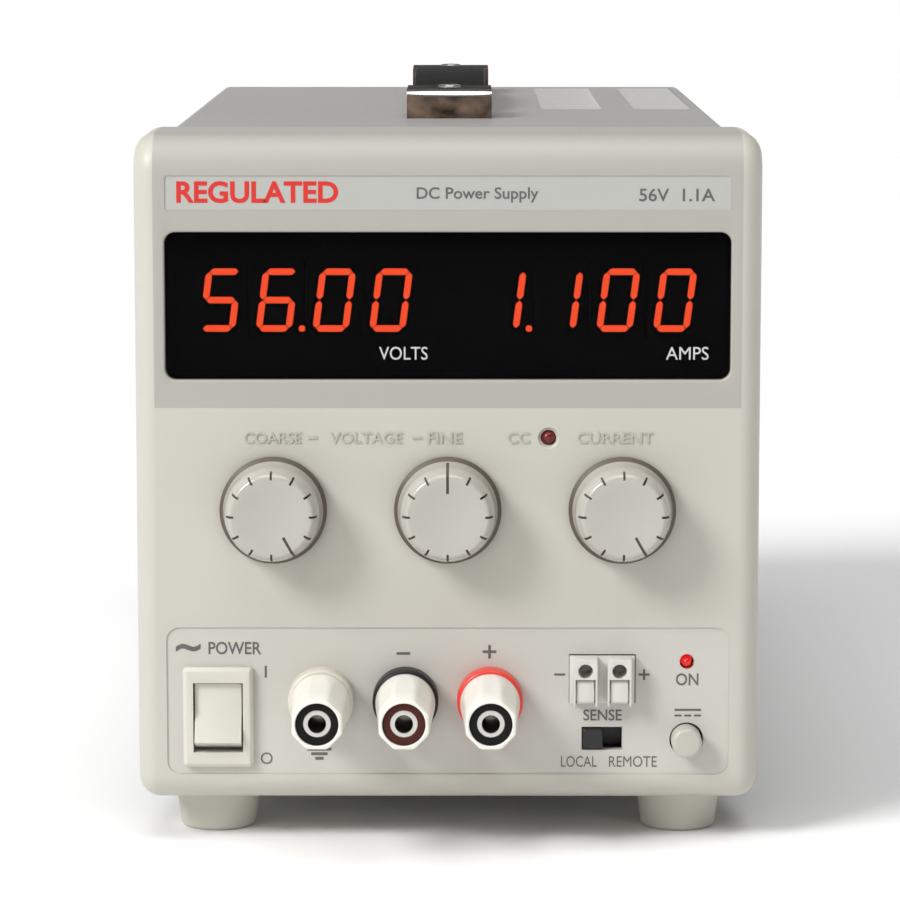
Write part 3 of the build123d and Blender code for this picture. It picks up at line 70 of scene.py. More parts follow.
FILM_GAP = 0.19 * MM  # round a printed film in its recess
FILM_SINK = 0.02 * MM  # how far printing goes into its film
FIELD_BELOW_WINDOW = 4.7 * MM  # the window's lower edge to the edge of the display field's painted shade
FIELD_IN_FROM_SIDE = 4.5 * MM  # the bezel's side to the edge of the display field's painted shade
FIGURE_LIGHT = 3.9
LAMP_LIGHT = 0.8
PRINT_BOLD = 0.014  # thickens the strokes of the printed words


# ---------------------------------------------------------------- colours and sizes
def paint(red, green, blue):
    """Linear colour of an sRGB one given from 0 to 255."""
    return tuple(((c / 255 + 0.055) / 1.055) ** 2.4 for c in (red, green, blue))


def colour(name, description, *srgb):
    """Colour property with an sRGB default."""
    return FloatVectorProperty(
        name=name,
        description=description,
        subtype="COLOR",
        size=3,
        min=0,
        max=1,
        default=paint(*srgb),
    )


def length(name, description, millimetres):
    """Length property with a default in millimetres."""
    return FloatProperty(
        name=name, description=description, unit="LENGTH", min=0, default=millimetres * MM
    )


class SupplyColours(bpy.types.PropertyGroup):
    """Colours of the supply's finishes; the display field, knob ring and raised label colours are
    painted shade
    """

    bezel: colour("Bezel", "Moulded front bezel", 190, 187, 177)
    # painted shade: darker tone above the fold, standing in for the change of shading at the fold
    field_painted_shade: colour("Display field", "Bezel above the fold", 169, 166, 159)
    strip: colour("Title strip", "Printed film above the display", 177, 177, 172)
    overlay: colour("Overlay", "Printed film round the lower controls", 191, 189, 181)
    print_grey: colour("Printing", "Grey printed on the films", 92, 93, 92)
    title_red: colour("Title red", "Coloured word on the title strip", 206, 38, 28)
    # painted shade: a little darker than the bezel, standing in for the shading round the raised
    # letters
    raised: colour("Raised labels", "Labels moulded on the control field", 178, 175, 165)
    knob: colour("Knobs", "Control knobs", 176, 173, 164)
    # painted shade: dark foot of each knob, standing in for the shade between knob and bezel
    knob_foot_shade: colour("Knob ring", "Dark foot of each knob", 84, 76, 66)
    figure: colour("Figures", "Light of the display figures", 240, 78, 42)
    window: colour("Window", "Smoked display window", 4, 4, 5)
    switch: colour("Switch frame", "Power switch frame", 202, 199, 188)
    rocker: colour("Rocker", "Power rocker", 204, 202, 190)
    cap: colour("Post caps", "Screw caps of the binding posts", 230, 227, 218)
    collar_cream: colour("Earth collar", "Collar of the earth post", 205, 200, 184)
    collar_black: colour("Negative collar", "Collar of the negative post", 34, 34, 36)
    collar_red: colour("Positive collar", "Collar of the positive post", 220, 62, 52)
    terminal: colour("Sense block", "Sense terminal block and its levers", 204, 204, 197)
    button: colour("Output button", "Output push button", 180, 178, 167)
    black: colour("Black plastic", "Slide switch, inlet and digit blocks", 26, 26, 27)
    cover: colour("Cover", "Painted steel cover", 156, 154, 152)
    foot: colour("Feet", "Moulded feet", 190, 187, 176)


class SupplySizes(bpy.types.PropertyGroup):
    """Sizes of the details added to the frame"""

    print_relief: length("Print thickness", "Thickness of the printed lettering", 0.05)
    raised_relief: length("Label height", "Height of the raised labels", 0.3)
    tick_width: length("Tick width", "Width of the marks cut in the knobs", 0.5)
    pointer_width: length("Pointer width", "Width of the pointer line cut in the knobs", 0.62)


def colours():
    """The colours that the panel's user may change."""
    return bpy.context.scene.supply_colours


def sizes():
    """The sizes that the panel's user may change."""
    return bpy.context.scene.supply_sizes


# ---------------------------------------------------------------- materials
def node(tree, kind, inputs, **settings):
    """New shader node, with values or sockets for its inputs."""
    made = tree.nodes.new(kind)
    for key, value in settings.items():
        setattr(made, key, value)
    for key, value in inputs.items():
        if isinstance(value, bpy.types.NodeSocket):
            tree.links.new(value, made.inputs[key])
        else:
            made.inputs[key].default_value = value
    return made


def mixed(tree, factor, low, high):
    """Colour between two others, by a factor socket."""
    made = node(tree, "ShaderNodeMix", {0: factor, 6: low, 7: high}, data_type="RGBA")
    return made.outputs[2]


def object_place(tree, stretch=(1, 1, 1)):
    """Object coordinates, stretched along the axes."""
    source = node(tree, "ShaderNodeTexCoord", {})
    inputs = {"Vector": source.outputs["Object"], "Scale": stretch}
    return node(tree, "ShaderNodeMapping", inputs).outputs[0]


def noise(tree, place, size, detail=3.0):
    """Noise with features of about a size, spread over the whole range from 0 to 1."""
    made = node(tree, "ShaderNodeTexNoise", {"Vector": place, "Scale": 1 / size, "Detail": detail})
    inputs = {"Value": made.outputs["Fac"], "From Min": 0.3, "From Max": 0.7}
    return node(tree, "ShaderNodeMapRange", inputs).outputs[0]


def shade(tint, factor):
    """A colour made lighter or darker, with its alpha."""
    return (*(min(1.0, c * factor) for c in tint), 1.0)


def textured(
    name,
    tint,
    roughness,
    metal=0.0,
    drift=0.03,
    patch=14.0,
    grain=0.4,
    relief=0.004,
    specular=0.5,
    stretch=(1, 1, 1),
):
    """Material whose colour drifts in patches, with a fine grain in its gloss and relief.

    patch, grain and relief are sizes in millimetres; drift is a share of the colour.
    """
    if name + "_finish" in bpy.data.materials:
        return bpy.data.materials[name + "_finish"]
    material = bpy.data.materials.new(name + "_finish")
    material.use_nodes = True
    tree = material.node_tree
    shader = tree.nodes["Principled BSDF"]
    place = object_place(tree, stretch)
    patches = noise(tree, place, patch * MM)
    grains = noise(tree, place, grain * MM, detail=2.0)
    base = mixed(tree, patches, shade(tint, 1 - drift), shade(tint, 1 + drift))
    spread = {"Value": grains, "To Min": roughness * 0.9, "To Max": roughness * 1.1}
    gloss = node(tree, "ShaderNodeMapRange", spread)
    raised = {"Height": grains, "Strength": 0.6, "Distance": relief * MM}
    bump = node(tree, "ShaderNodeBump", raised)
    tree.links.new(base, shader.inputs["Base Color"])
    tree.links.new(gloss.outputs[0], shader.inputs["Roughness"])
    tree.links.new(bump.outputs[0], shader.inputs["Normal"])
    shader.inputs["Metallic"].default_value = metal
    shader.inputs["Specular IOR Level"].default_value = specular
    return material


def base_link(material):
    """The link that brings a material its base colour."""
    return material.node_tree.nodes["Principled BSDF"].inputs["Base Color"].links[0]


def axis_value(tree, axis):
    """One object coordinate as a socket."""
    source = node(tree, "ShaderNodeTexCoord", {})
    return node(tree, "ShaderNodeSeparateXYZ", {0: source.outputs["Object"]}).outputs[axis]


def compare(tree, value, operation, limit):
    """1 where a value passes a limit and 0 elsewhere, as a socket."""
    return node(tree, "ShaderNodeMath", {0: value, 1: limit}, operation=operation).outputs[0]


def bezel_plastic():
    """Spark-eroded texture; the display field above the fold is painted a little darker than the
    rest, painted shade standing in for the change of shading at the fold.
    """
    material = textured(
        "bezel_plastic", colours().bezel, 0.42, drift=0.012, patch=40, grain=0.45, relief=0.006
    )
    tree = material.node_tree
    if "field" in tree.nodes:
        return material
    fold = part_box("display_window")[0].z - FIELD_BELOW_WINDOW
    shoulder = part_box("front_bezel")[1].x - FIELD_IN_FROM_SIDE
    above = compare(tree, axis_value(tree, "Z"), "GREATER_THAN", fold)
    across = axis_value(tree, "X")
    side = node(tree, "ShaderNodeMath", {0: across}, operation="ABSOLUTE").outputs[0]
    inside = compare(tree, side, "LESS_THAN", shoulder)
    # painted shade: mask of the field above the fold and inside the shoulders, which takes the
    # darker colour
    field = node(tree, "ShaderNodeMath", {0: above, 1: inside}, operation="MULTIPLY", name="field")
    link = base_link(material)
    plain = link.from_socket
    tree.links.remove(link)
    darker = mixed(tree, field.outputs[0], (0, 0, 0, 1), shade(colours().field_painted_shade, 1))
    tree.links.new(plain, darker.node.inputs[6])
    tree.links.new(darker, tree.nodes["Principled BSDF"].inputs["Base Color"])
    return material


def lit(material, tint, strength):
    """Adds light of a colour to a material."""
    shader = material.node_tree.nodes["Principled BSDF"]
    shader.inputs["Emission Color"].default_value = (*tint, 1)
    shader.inputs["Emission Strength"].default_value = strength
    return material


def smoked_window():
    """Dark acrylic; each of its two faces lets half of the light through."""
    material = textured(
        "smoked_window", colours().window, 0.16, drift=0.1, grain=8.0, relief=0.0, specular=0.05
    )
    material.node_tree.nodes["Principled BSDF"].inputs["Alpha"].default_value = 0.5
    return material


def led_lens():
    """Red lens of a lamp that is off."""
    return textured("led_lens", paint(104, 18, 15), 0.25, drift=0.08, patch=2, relief=0.001)


def wound_tape():
    """Yellow tape laid round the transformer in overlapping turns."""
    material = textured("winding_tape", paint(206, 176, 74), 0.35, drift=0.05)
    tree = material.node_tree
    place = object_place(tree)
    turns = node(tree, "ShaderNodeTexWave", {"Vector": place, "Scale": 55.0, "Distortion": 1.5})
    bump = node(tree, "ShaderNodeBump", {"Height": turns.outputs["Fac"], "Distance": 0.3 * MM})
    tree.links.new(bump.outputs[0], tree.nodes["Principled BSDF"].inputs["Normal"])
    return material


def strap_vinyl():
    """Black vinyl with a leather grain."""
    material = textured("strap_vinyl", paint(24, 24, 23), 0.55, drift=0.15, patch=6, specular=0.15)
    tree = material.node_tree
    place = object_place(tree)
    cells = node(tree, "ShaderNodeTexVoronoi", {"Vector": place, "Scale": 1 / (0.9 * MM)})
    raised = {"Height": cells.outputs["Distance"], "Distance": 0.06 * MM}
    bump = node(tree, "ShaderNodeBump", raised)
    tree.links.new(bump.outputs[0], tree.nodes["Principled BSDF"].inputs["Normal"])
    return material


def finish(slot):
    """The material of one of the record's slots."""
    c = colours()
    anodised = dict(metal=0.6, drift=0.12, relief=0.01, stretch=(1, 1, 18))
    polished = dict(metal=1.0, drift=0.06, patch=5, relief=0.0005)
    wires = dict(drift=0.25, patch=1.2, stretch=(1, 0.02, 0.02))
    special = {
        "bezel_plastic": bezel_plastic,
        "window_acrylic": smoked_window,
        "led_lens": led_lens,
        "winding_tape": wound_tape,
        "strap_vinyl": strap_vinyl,
    }
    if slot in special:
        return special[slot]()
    plain = {
        "strip_film": (c.strip, 0.38, dict(drift=0.015, relief=0.002)),
        "overlay_film": (c.overlay, 0.36, dict(drift=0.012, patch=30, relief=0.002)),
        "digit_plastic": (paint(8, 8, 8), 0.5, dict(specular=0.1)),
        "led_light": (c.figure, 0.4, dict(drift=0.05, patch=3)),
        "board_green": (paint(24, 78, 46), 0.35, dict(drift=0.12, patch=5)),
        "plated_steel": (paint(176, 176, 170), 0.32, dict(metal=1.0, drift=0.08, patch=4)),
        "knob_plastic": (c.knob, 0.2, dict(drift=0.01, grain=3.0, relief=0.0, specular=0.8)),
        "switch_plastic": (c.switch, 0.34, dict(drift=0.012)),
        "rocker_plastic": (c.rocker, 0.3, dict(drift=0.01, relief=0.001)),
        "socket_metal": (paint(212, 210, 204), 0.24, dict(metal=1.0, drift=0.05, patch=2)),
        "collar_cream": (c.collar_cream, 0.34, {}),
        "collar_black": (c.collar_black, 0.4, dict(specular=0.25)),
        "collar_red": (c.collar_red, 0.3, {}),
        "bush_black": (paint(18, 18, 17), 0.4, dict(specular=0.15)),
        "bush_brown": (paint(72, 34, 24), 0.4, dict(specular=0.15)),
        "cap_white": (c.cap, 0.24, dict(drift=0.008, relief=0.002)),
        "terminal_plastic": (c.terminal, 0.38, dict(drift=0.02)),
        "slide_black": (c.black, 0.42, dict(drift=0.1)),
        "button_plastic": (c.button, 0.36, dict(drift=0.015)),
        "cover_paint": (c.cover, 0.46, dict(drift=0.02, patch=60, grain=0.7, relief=0.02)),
        "cap_chrome": (paint(214, 210, 204), 0.12, polished),
        "foot_plastic": (c.foot, 0.6, dict(drift=0.03)),
        "screw_steel": (paint(190, 190, 188), 0.28, dict(metal=1.0, drift=0.08, patch=1.5)),
        "heatsink_black": (paint(44, 44, 46), 0.38, anodised),
        "inlet_black": (c.black, 0.45, dict(drift=0.08)),
        "pin_metal": (paint(222, 218, 206), 0.22, dict(metal=1.0, drift=0.06, patch=2)),
        "capacitor_sleeve": (paint(30, 40, 84), 0.3, dict(drift=0.06)),
        "component_black": (paint(36, 36, 38), 0.4, dict(drift=0.1)),
        "ribbon_grey": (paint(150, 150, 152), 0.45, wires),
    }
    tint, roughness, details = plain[slot]
    return textured(slot, tint, roughness, **details)


# ---------------------------------------------------------------- modelling helpers
def clear_selection():
    """Selects no object."""
    bpy.ops.object.select_all(action="DESELECT")


def only(piece):
    """Selects one object and nothing else."""
    clear_selection()
    piece.select_set(True)
    bpy.context.view_layer.objects.active = piece


def merge_doubles(threshold):
    """Merges the active piece's vertices that lie in one place."""
    bpy.ops.object.mode_set(mode="EDIT")
    bpy.ops.mesh.select_all(action="SELECT")
    bpy.ops.mesh.remove_doubles(threshold=threshold)
    bpy.ops.object.mode_set(mode="OBJECT")


def extent(points):
    """Lowest and highest corners of the box round some points."""
    low = Vector([min(p[i] for p in points) for i in range(3)])
    high = Vector([max(p[i] for p in points) for i in range(3)])
    return low, high


def dress(piece, *materials):
    """Gives a piece its materials, in the order of their slots."""
    piece.data.materials.clear()
    for material in materials:
        piece.data.materials.append(material)


def stand_in(piece, name):
    """A piece takes a CAD node's place and body."""
    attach(piece, BODY_OF[name])
    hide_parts(name)
    return piece


def settle(piece, angle=30.0):
    """Puts a new piece's place in its mesh and shades it smooth between hard edges."""
    only(piece)
    bpy.ops.object.transform_apply(location=True, rotation=True, scale=True)
    bpy.ops.object.shade_smooth_by_angle(angle=math.radians(angle))
    return piece


def merged_copy(name, new_name):
    """A copy of a CAD node's mesh with its loose triangles merged."""
    piece = bpy.data.objects.new(new_name, frame["nodes"][name].data.copy())
    bpy.context.scene.collection.objects.link(piece)
    only(piece)
    bpy.ops.mesh.customdata_custom_splitnormals_clear()
    merge_doubles(0.002 * MM)
    return piece


def ease_edges(piece, width, angle=35.0, segments=2):
    """Rounds a piece's hard edges inwards."""
    only(piece)
    eased = piece.modifiers.new("eased_edges", "BEVEL")
    eased.width = width
    eased.segments = segments
    eased.limit_method = "ANGLE"
    eased.angle_limit = math.radians(angle)
    bpy.ops.object.modifier_apply(modifier=eased.name)


def grow(piece, gap):
    """Widens a piece about its middle by a gap on each side, so that it fills its recess."""
    low, high = extent([v.co for v in piece.data.vertices])
    factor = [1 + 2 * gap / (high[i] - low[i]) for i in range(3)]
    factor[1] = 1
    only(piece)
    bpy.ops.object.mode_set(mode="EDIT")
    bpy.ops.mesh.select_all(action="SELECT")
    bpy.ops.transform.resize(value=factor, center_override=(low + high) / 2)
    bpy.ops.object.mode_set(mode="OBJECT")


def moulded(name, ease=0.0, angle=30.0):
    """A smooth copy that stands in for a CAD node, with its hard edges eased."""
    piece = merged_copy(name, name + "_piece")
    if ease:
        ease_edges(piece, ease)
    only(piece)
    bpy.ops.object.shade_smooth_by_angle(angle=math.radians(angle))
    dress(piece, finish(SLOT_OF[name]))
    return stand_in(piece, name)


def keep(name):
    """A CAD node whose shape is right gets its material."""
    dress(frame["nodes"][name], finish(SLOT_OF[name]))


def bar(start, end, width, height, up):
    """A box whose floor runs from start to end and which rises towards up. Points in metres."""
    along = Vector(end) - Vector(start)
    rise = Vector(up) - Vector(up).project(along)
    rise.normalize()
    across = rise.cross(along).normalized()
    clear_selection()
    bpy.ops.mesh.primitive_cube_add(size=1)
    piece = bpy.context.active_object
    middle = (Vector(start) + Vector(end)) / 2 + rise * height / 2
    columns = (along, across * width, rise * height)
    piece.matrix_world = Matrix.Translation(middle) @ Matrix(columns).transposed().to_4x4()
    bpy.ops.object.transform_apply(location=True, rotation=True, scale=True)
    return piece


def joined(pieces, name):
    """Several meshes made into one object."""
    clear_selection()
    for piece in pieces:
        piece.select_set(True)
    bpy.context.view_layer.objects.active = pieces[0]
    bpy.ops.object.join()
    pieces[0].name = name
    return pieces[0]


def cut(piece, cutter):
    """Takes a cutter's shape out of a piece; the cut faces take the cutter's material."""
    only(piece)
    boolean = piece.modifiers.new("cut", "BOOLEAN")
    boolean.operation = "DIFFERENCE"
    boolean.solver = "EXACT"
    boolean.material_mode = "TRANSFER"
    boolean.object = cutter
    bpy.ops.object.modifier_apply(modifier=boolean.name)
    bpy.data.objects.remove(cutter)


def lettering(name, words, centre, size, y, material, bold=0.0, relief=None, body="root"):
    """Words as a thin solid that faces the user, fitted to a width and height in millimetres."""
    relief = relief or sizes().print_relief
    clear_selection()
    bpy.ops.object.text_add()
    piece = bpy.context.active_object
    piece.data.body = words
    piece.data.offset = bold
    piece.data.extrude = 0.5
    piece.data.resolution_u = 4
    bpy.ops.object.convert(target="MESH")
    low, high = extent([v.co for v in piece.data.vertices])
    wide, tall = size
    scale = (
        wide * MM / (high.x - low.x),
        tall * MM / (high.y - low.y),
        relief + 2 * FILM_SINK,
    )
    middle = Vector(((high.x + low.x) / 2, (high.y + low.y) / 2, 0))
    place = Vector((centre[0] * MM, y - relief / 2 + FILM_SINK, centre[1] * MM))
    upright = Matrix.Rotation(math.radians(90), 4, "X")
    sizing = Matrix.Diagonal((*scale, 1))
    piece.matrix_world = Matrix.Translation(place) @ upright @ sizing @ Matrix.Translation(-middle)
    bpy.ops.object.transform_apply(location=True, rotation=True, scale=True)
    merge_doubles(0.001 * MM)
    piece.name = name
    dress(piece, material)
    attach(piece, body)
    return piece


def printing():
    """Grey ink of the printed films."""
    return textured("print_grey", colours().print_grey, 0.5, drift=0.05, patch=1.5, relief=0.001)


# ---------------------------------------------------------------- front
class SUPPLY_OT_bezel(bpy.types.Operator):
    """Front bezel, with its raised labels"""

    bl_idname = "supply.bezel"
    bl_label = "Front Bezel"

    LABEL_LEVEL = 92.35  # millimetres above the table
    LABEL_TALL = 2.5
    DASH_TALL = 0.45
    LABEL_DEPTH = 0.72  # the control field there, behind the bezel's frontmost face
    LABEL_BOLD = 0.006

    def execute(self, context):
        moulded("front_bezel", angle=25)
        # painted shade: the labels' darker tint stands in for the shading round the raised letters
        raised = textured("raised_label_painted_shade", colours().raised, 0.42, drift=0.012, relief=0.004)
        labels = (
            ("label_coarse", "COARSE", -39.1, 12.8),
            ("label_dash_left", "–", -30.2, 2.1),
            ("label_voltage", "VOLTAGE", -18.2, 16.2),
            ("label_dash_right", "–", -6.9, 2.1),
            ("label_fine", "FINE", -0.6, 7.7),
            ("label_cc", "CC", 15.8, 4.9),
            ("label_current", "CURRENT", 37.4, 17.0),
        )
        y = FRONT + self.LABEL_DEPTH * MM
        relief = sizes().raised_relief
        for name, words, x, wide in labels:
            size = (wide, self.DASH_TALL if words == "–" else self.LABEL_TALL)
            centre = (x, self.LABEL_LEVEL)
            lettering(name, words, centre, size, y, raised, self.LABEL_BOLD, relief)
        return {"FINISHED"}


class SUPPLY_OT_title(bpy.types.Operator):
    """Title strip with its printed words"""

    bl_idname = "supply.title"
    bl_label = "Title Strip"

    def execute(self, context):
        grow(moulded("title_strip"), FILM_GAP)
        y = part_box("title_strip")[0].y
        red = textured("print_red", colours().title_red, 0.5, drift=0.03, patch=2, relief=0.001)
        grey = printing()
        lettering("title_word", "REGULATED", (-42.2, 147.2), (35.9, 4.9), y, red, 0.03)
        lettering("title_kind", "DC Power Supply", (6.6, 146.6), (27.0, 3.4), y, grey, PRINT_BOLD)
        lettering("title_rating", "56V  1.1A", (50.8, 146.6), (16.8, 2.9), y, grey, PRINT_BOLD)
        return {"FINISHED"}


class SUPPLY_OT_display(bpy.types.Operator):
    """Smoked window, its mask, the digit blocks, the lit figures and the unit names"""

    bl_idname = "supply.display"
    bl_label = "Display"

    MASK_GAP = 0.1 * MM  # behind the window
    MASK_SHEET = 0.2 * MM
    HALF_POST = 6.6 * MM  # of the upright between the mask's two openings
    LAP_SIDE = 0.3 * MM  # the mask's edges over the digit blocks
    LAP_LEVEL = 0.5 * MM
    BACKWARDS = (0, 1, 0)

    def execute(self, context):
        moulded("display_window", ease=0.2 * MM)
        keep("digit_modules")
        keep("lit_segments")
        lit(finish("led_light"), colours().figure, FIGURE_LIGHT)
        self.mask()
        grey = paint(196, 196, 194)
        white = textured("print_white", grey, 0.5, drift=0.03, patch=1.5, relief=0.001)
        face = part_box("display_window")[0].y
        lettering("unit_volts", "VOLTS", (-9.9, 111.2), (10.8, 2.9), face, white)
        lettering("unit_amps", "AMPS", (53.4, 111.2), (9.5, 2.9), face, white)
        return {"FINISHED"}

    def mask(self):
        """Black sheet behind the window, open over the two groups of digit blocks."""
        low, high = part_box("display_window")
        blocks_low, blocks_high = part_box("digit_modules")
        y = high.y + self.MASK_GAP
        z = (high.z + low.z) / 2
        ends = (low.x, y, z), (high.x, y, z)
        mask = bar(*ends, high.z - low.z, self.MASK_SHEET, self.BACKWARDS)
        z = (blocks_low.z + blocks_high.z) / 2
        tall = blocks_high.z - blocks_low.z - 2 * self.LAP_LEVEL
        for side in (-1, 1):
            ends = (side * self.HALF_POST, side * (blocks_high.x - self.LAP_SIDE))
            floor = [(x, y - 1 * MM, z) for x in sorted(ends)]
            cut(mask, bar(*floor, tall, 3 * MM, self.BACKWARDS))
        mask.name = "display_mask"
        dress(mask, finish("digit_plastic"))
        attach(mask, "root")


class SUPPLY_OT_overlay(bpy.types.Operator):
    """Overlay film with the printing of the lower controls"""

    bl_idname = "supply.overlay"
    bl_label = "Control Overlay"

    def execute(self, context):
        grow(moulded("control_overlay"), FILM_GAP)
        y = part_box("control_overlay")[0].y
        grey = printing()
        words = (
            ("print_mains", "~", (-58.4, 44.7), (5.6, 1.9), 0.02),
            ("print_power", "POWER", (-47.9, 44.6), (11.9, 2.9), PRINT_BOLD),
            ("print_switch_on", "I", (-41.0, 39.2), (0.5, 2.7), 0.0),
            ("print_switch_off", "O", (-40.9, 19.3), (2.7, 2.7), 0.0),
            ("print_minus", "−", (-10.0, 43.4), (3.1, 0.6), 0.0),
            ("print_plus", "+", (9.4, 43.8), (3.1, 3.1), 0.01),
            ("print_sense_minus", "−", (25.2, 38.6), (2.5, 0.5), 0.0),
            ("print_sense_plus", "+", (44.2, 38.6), (2.5, 2.5), 0.01),
            ("print_sense", "SENSE", (34.9, 29.3), (8.7, 2.6), PRINT_BOLD),
            ("print_local", "LOCAL", (29.6, 18.6), (8.1, 2.5), 0.0),
            ("print_remote", "REMOTE", (41.8, 18.6), (10.8, 2.5), 0.0),
            ("print_on", "ON", (53.9, 37.5), (5.1, 2.8), PRINT_BOLD),
        )
        for name, text, centre, size, bold in words:
            lettering(name, text, centre, size, y, grey, bold)
        self.symbol("print_direct", self.direct_marks(), y, grey)
        self.symbol("print_earth", self.earth_marks(-29.0), y, grey)
        return {"FINISHED"}

    @staticmethod
    def direct_marks():
        """Direct current: a line over three dashes. Each mark is x, z, width, height."""
        dashes = [(54.1 + k * 2.2, 29.2, 1.6, 0.45) for k in (-1, 0, 1)]
        return [(54.1, 30.5, 6.0, 0.5), *dashes]

    @staticmethod
    def earth_marks(x):
        """Earth: three lines that get shorter downwards."""
        return [(x, 21.4 - k * 1.05, 5.5 - k * 1.8, 0.7) for k in range(3)]

    @staticmethod
    def symbol(name, marks, y, material):
        """Printed marks in one piece."""
        bars = []
        for x, z, wide, tall in marks:
            start = Vector(((x - wide / 2) * MM, y + FILM_SINK, z * MM))
            end = start + Vector((wide * MM, 0, 0))
            bars.append(bar(start, end, tall * MM, sizes().print_relief + FILM_SINK, OUT))
        piece = joined(bars, name)
        dress(piece, material)
        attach(piece, "root")


class SUPPLY_OT_knobs(bpy.types.Operator):
    """Three knobs with cut ticks and pointers"""

    bl_idname = "supply.knobs"
    bl_label = "Knobs"

    RIM_R = 8.7  # edge of the flat rim round the dish
    SHOULDER_R = 1.96
    SHOULDER_DEPTH = 6.0
    SIDE_DEPTH = 9.3  # where the foot begins
    TAPER = 0.11
    FOOT_LONG = 1.85 * MM
    TICK_STEP = 30  # degrees
    LAP = 0.12 * MM  # of one stretch of a mark over the next
    CUTTER_HIGH = 1.6 * MM
    # Each end of a mark's stretch is a radius and a depth behind the face, in millimetres.
    TICK = ((8.3, 0.2), (9.9, 1.75))
    POINTER = ((5.4, 0.66), (8.4, 0.3), (9.3, 0.65), (9.9, 1.75), (10.4, 3.9), (10.75, 8.4))

    def execute(self, context):
        for name, pointer in (("coarse_knob", 150), ("fine_knob", 0), ("current_knob", 150)):
            self.knob(name, pointer)
            keep(name.replace("knob", "spindle"))
        return {"FINISHED"}

    def knob(self, name, pointer):
        """One knob, with its pointer at an angle from the top."""
        low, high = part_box(name)
        centre = Vector(((low.x + high.x) / 2, low.y, (low.z + high.z) / 2))
        dark = textured("mark_dark", paint(84, 79, 72), 0.6, drift=0.05, relief=0.001)
        ring = textured("knob_foot_shade", colours().knob_foot_shade, 0.5, drift=0.03)
        piece = merged_copy(name, name + "_piece")
        self.round_shoulder(piece, centre)
        dress(piece, finish(SLOT_OF[name]), ring, dark)
        # painted shade: faces near the knob's foot take the dark foot colour
        for face in piece.data.polygons:
            if face.center.y > high.y - self.FOOT_LONG:
                face.material_index = 1
        turns = range(pointer + self.TICK_STEP, pointer + 360, self.TICK_STEP)
        wide = sizes().tick_width
        cutters = [self.groove(centre, turn, *self.TICK, wide) for turn in turns]
        wide = sizes().pointer_width
        for inner, outer in zip(self.POINTER, self.POINTER[1:]):
            cutters.append(self.groove(centre, pointer, inner, outer, wide))
        for cutter in cutters:
            dress(cutter, dark)
            cut(piece, cutter)
        only(piece)
        bpy.ops.object.shade_smooth_by_angle(angle=math.radians(30))
        stand_in(piece, name)

    def round_shoulder(self, piece, centre):
        """Draws the side in to a soft shoulder between the flat rim and the foot."""
        for vertex in piece.data.vertices:
            offset = vertex.co - centre
            depth, radius = offset.y, math.hypot(offset.x, offset.z)
            if radius <= self.RIM_R * MM or depth >= self.SIDE_DEPTH * MM:
                continue
            share = 1 - min(depth, self.SHOULDER_DEPTH * MM) / (self.SHOULDER_DEPTH * MM)
            run_out = max(0.0, depth - self.SHOULDER_DEPTH * MM) * self.TAPER
            limit = (self.RIM_R + self.SHOULDER_R * math.sqrt(1 - share**2)) * MM + run_out
            if radius > limit:
                vertex.co.x = centre.x + offset.x * limit / radius
                vertex.co.z = centre.z + offset.z * limit / radius

    def groove(self, centre, angle, inner, outer, width):
        """Cutter for one stretch of a mark, at an angle from the top."""
        turn = math.radians(angle)
        outward = Vector((math.sin(turn), 0, math.cos(turn)))
        start, end = (centre + outward * r * MM - OUT * depth * MM for r, depth in (inner, outer))
        lap = (end - start).normalized() * self.LAP
        start, end = start - lap, end + lap
        return bar(start, end, width, self.CUTTER_HIGH, OUT * 0.7 + outward * 0.3)


class SUPPLY_OT_power_switch(bpy.types.Operator):
    """Power switch frame and rocker"""

    bl_idname = "supply.power_switch"
    bl_label = "Power Switch"

    def execute(self, context):
        moulded("power_switch_frame", ease=0.25 * MM)
        moulded("power_rocker", ease=0.3 * MM)
        return {"FINISHED"}


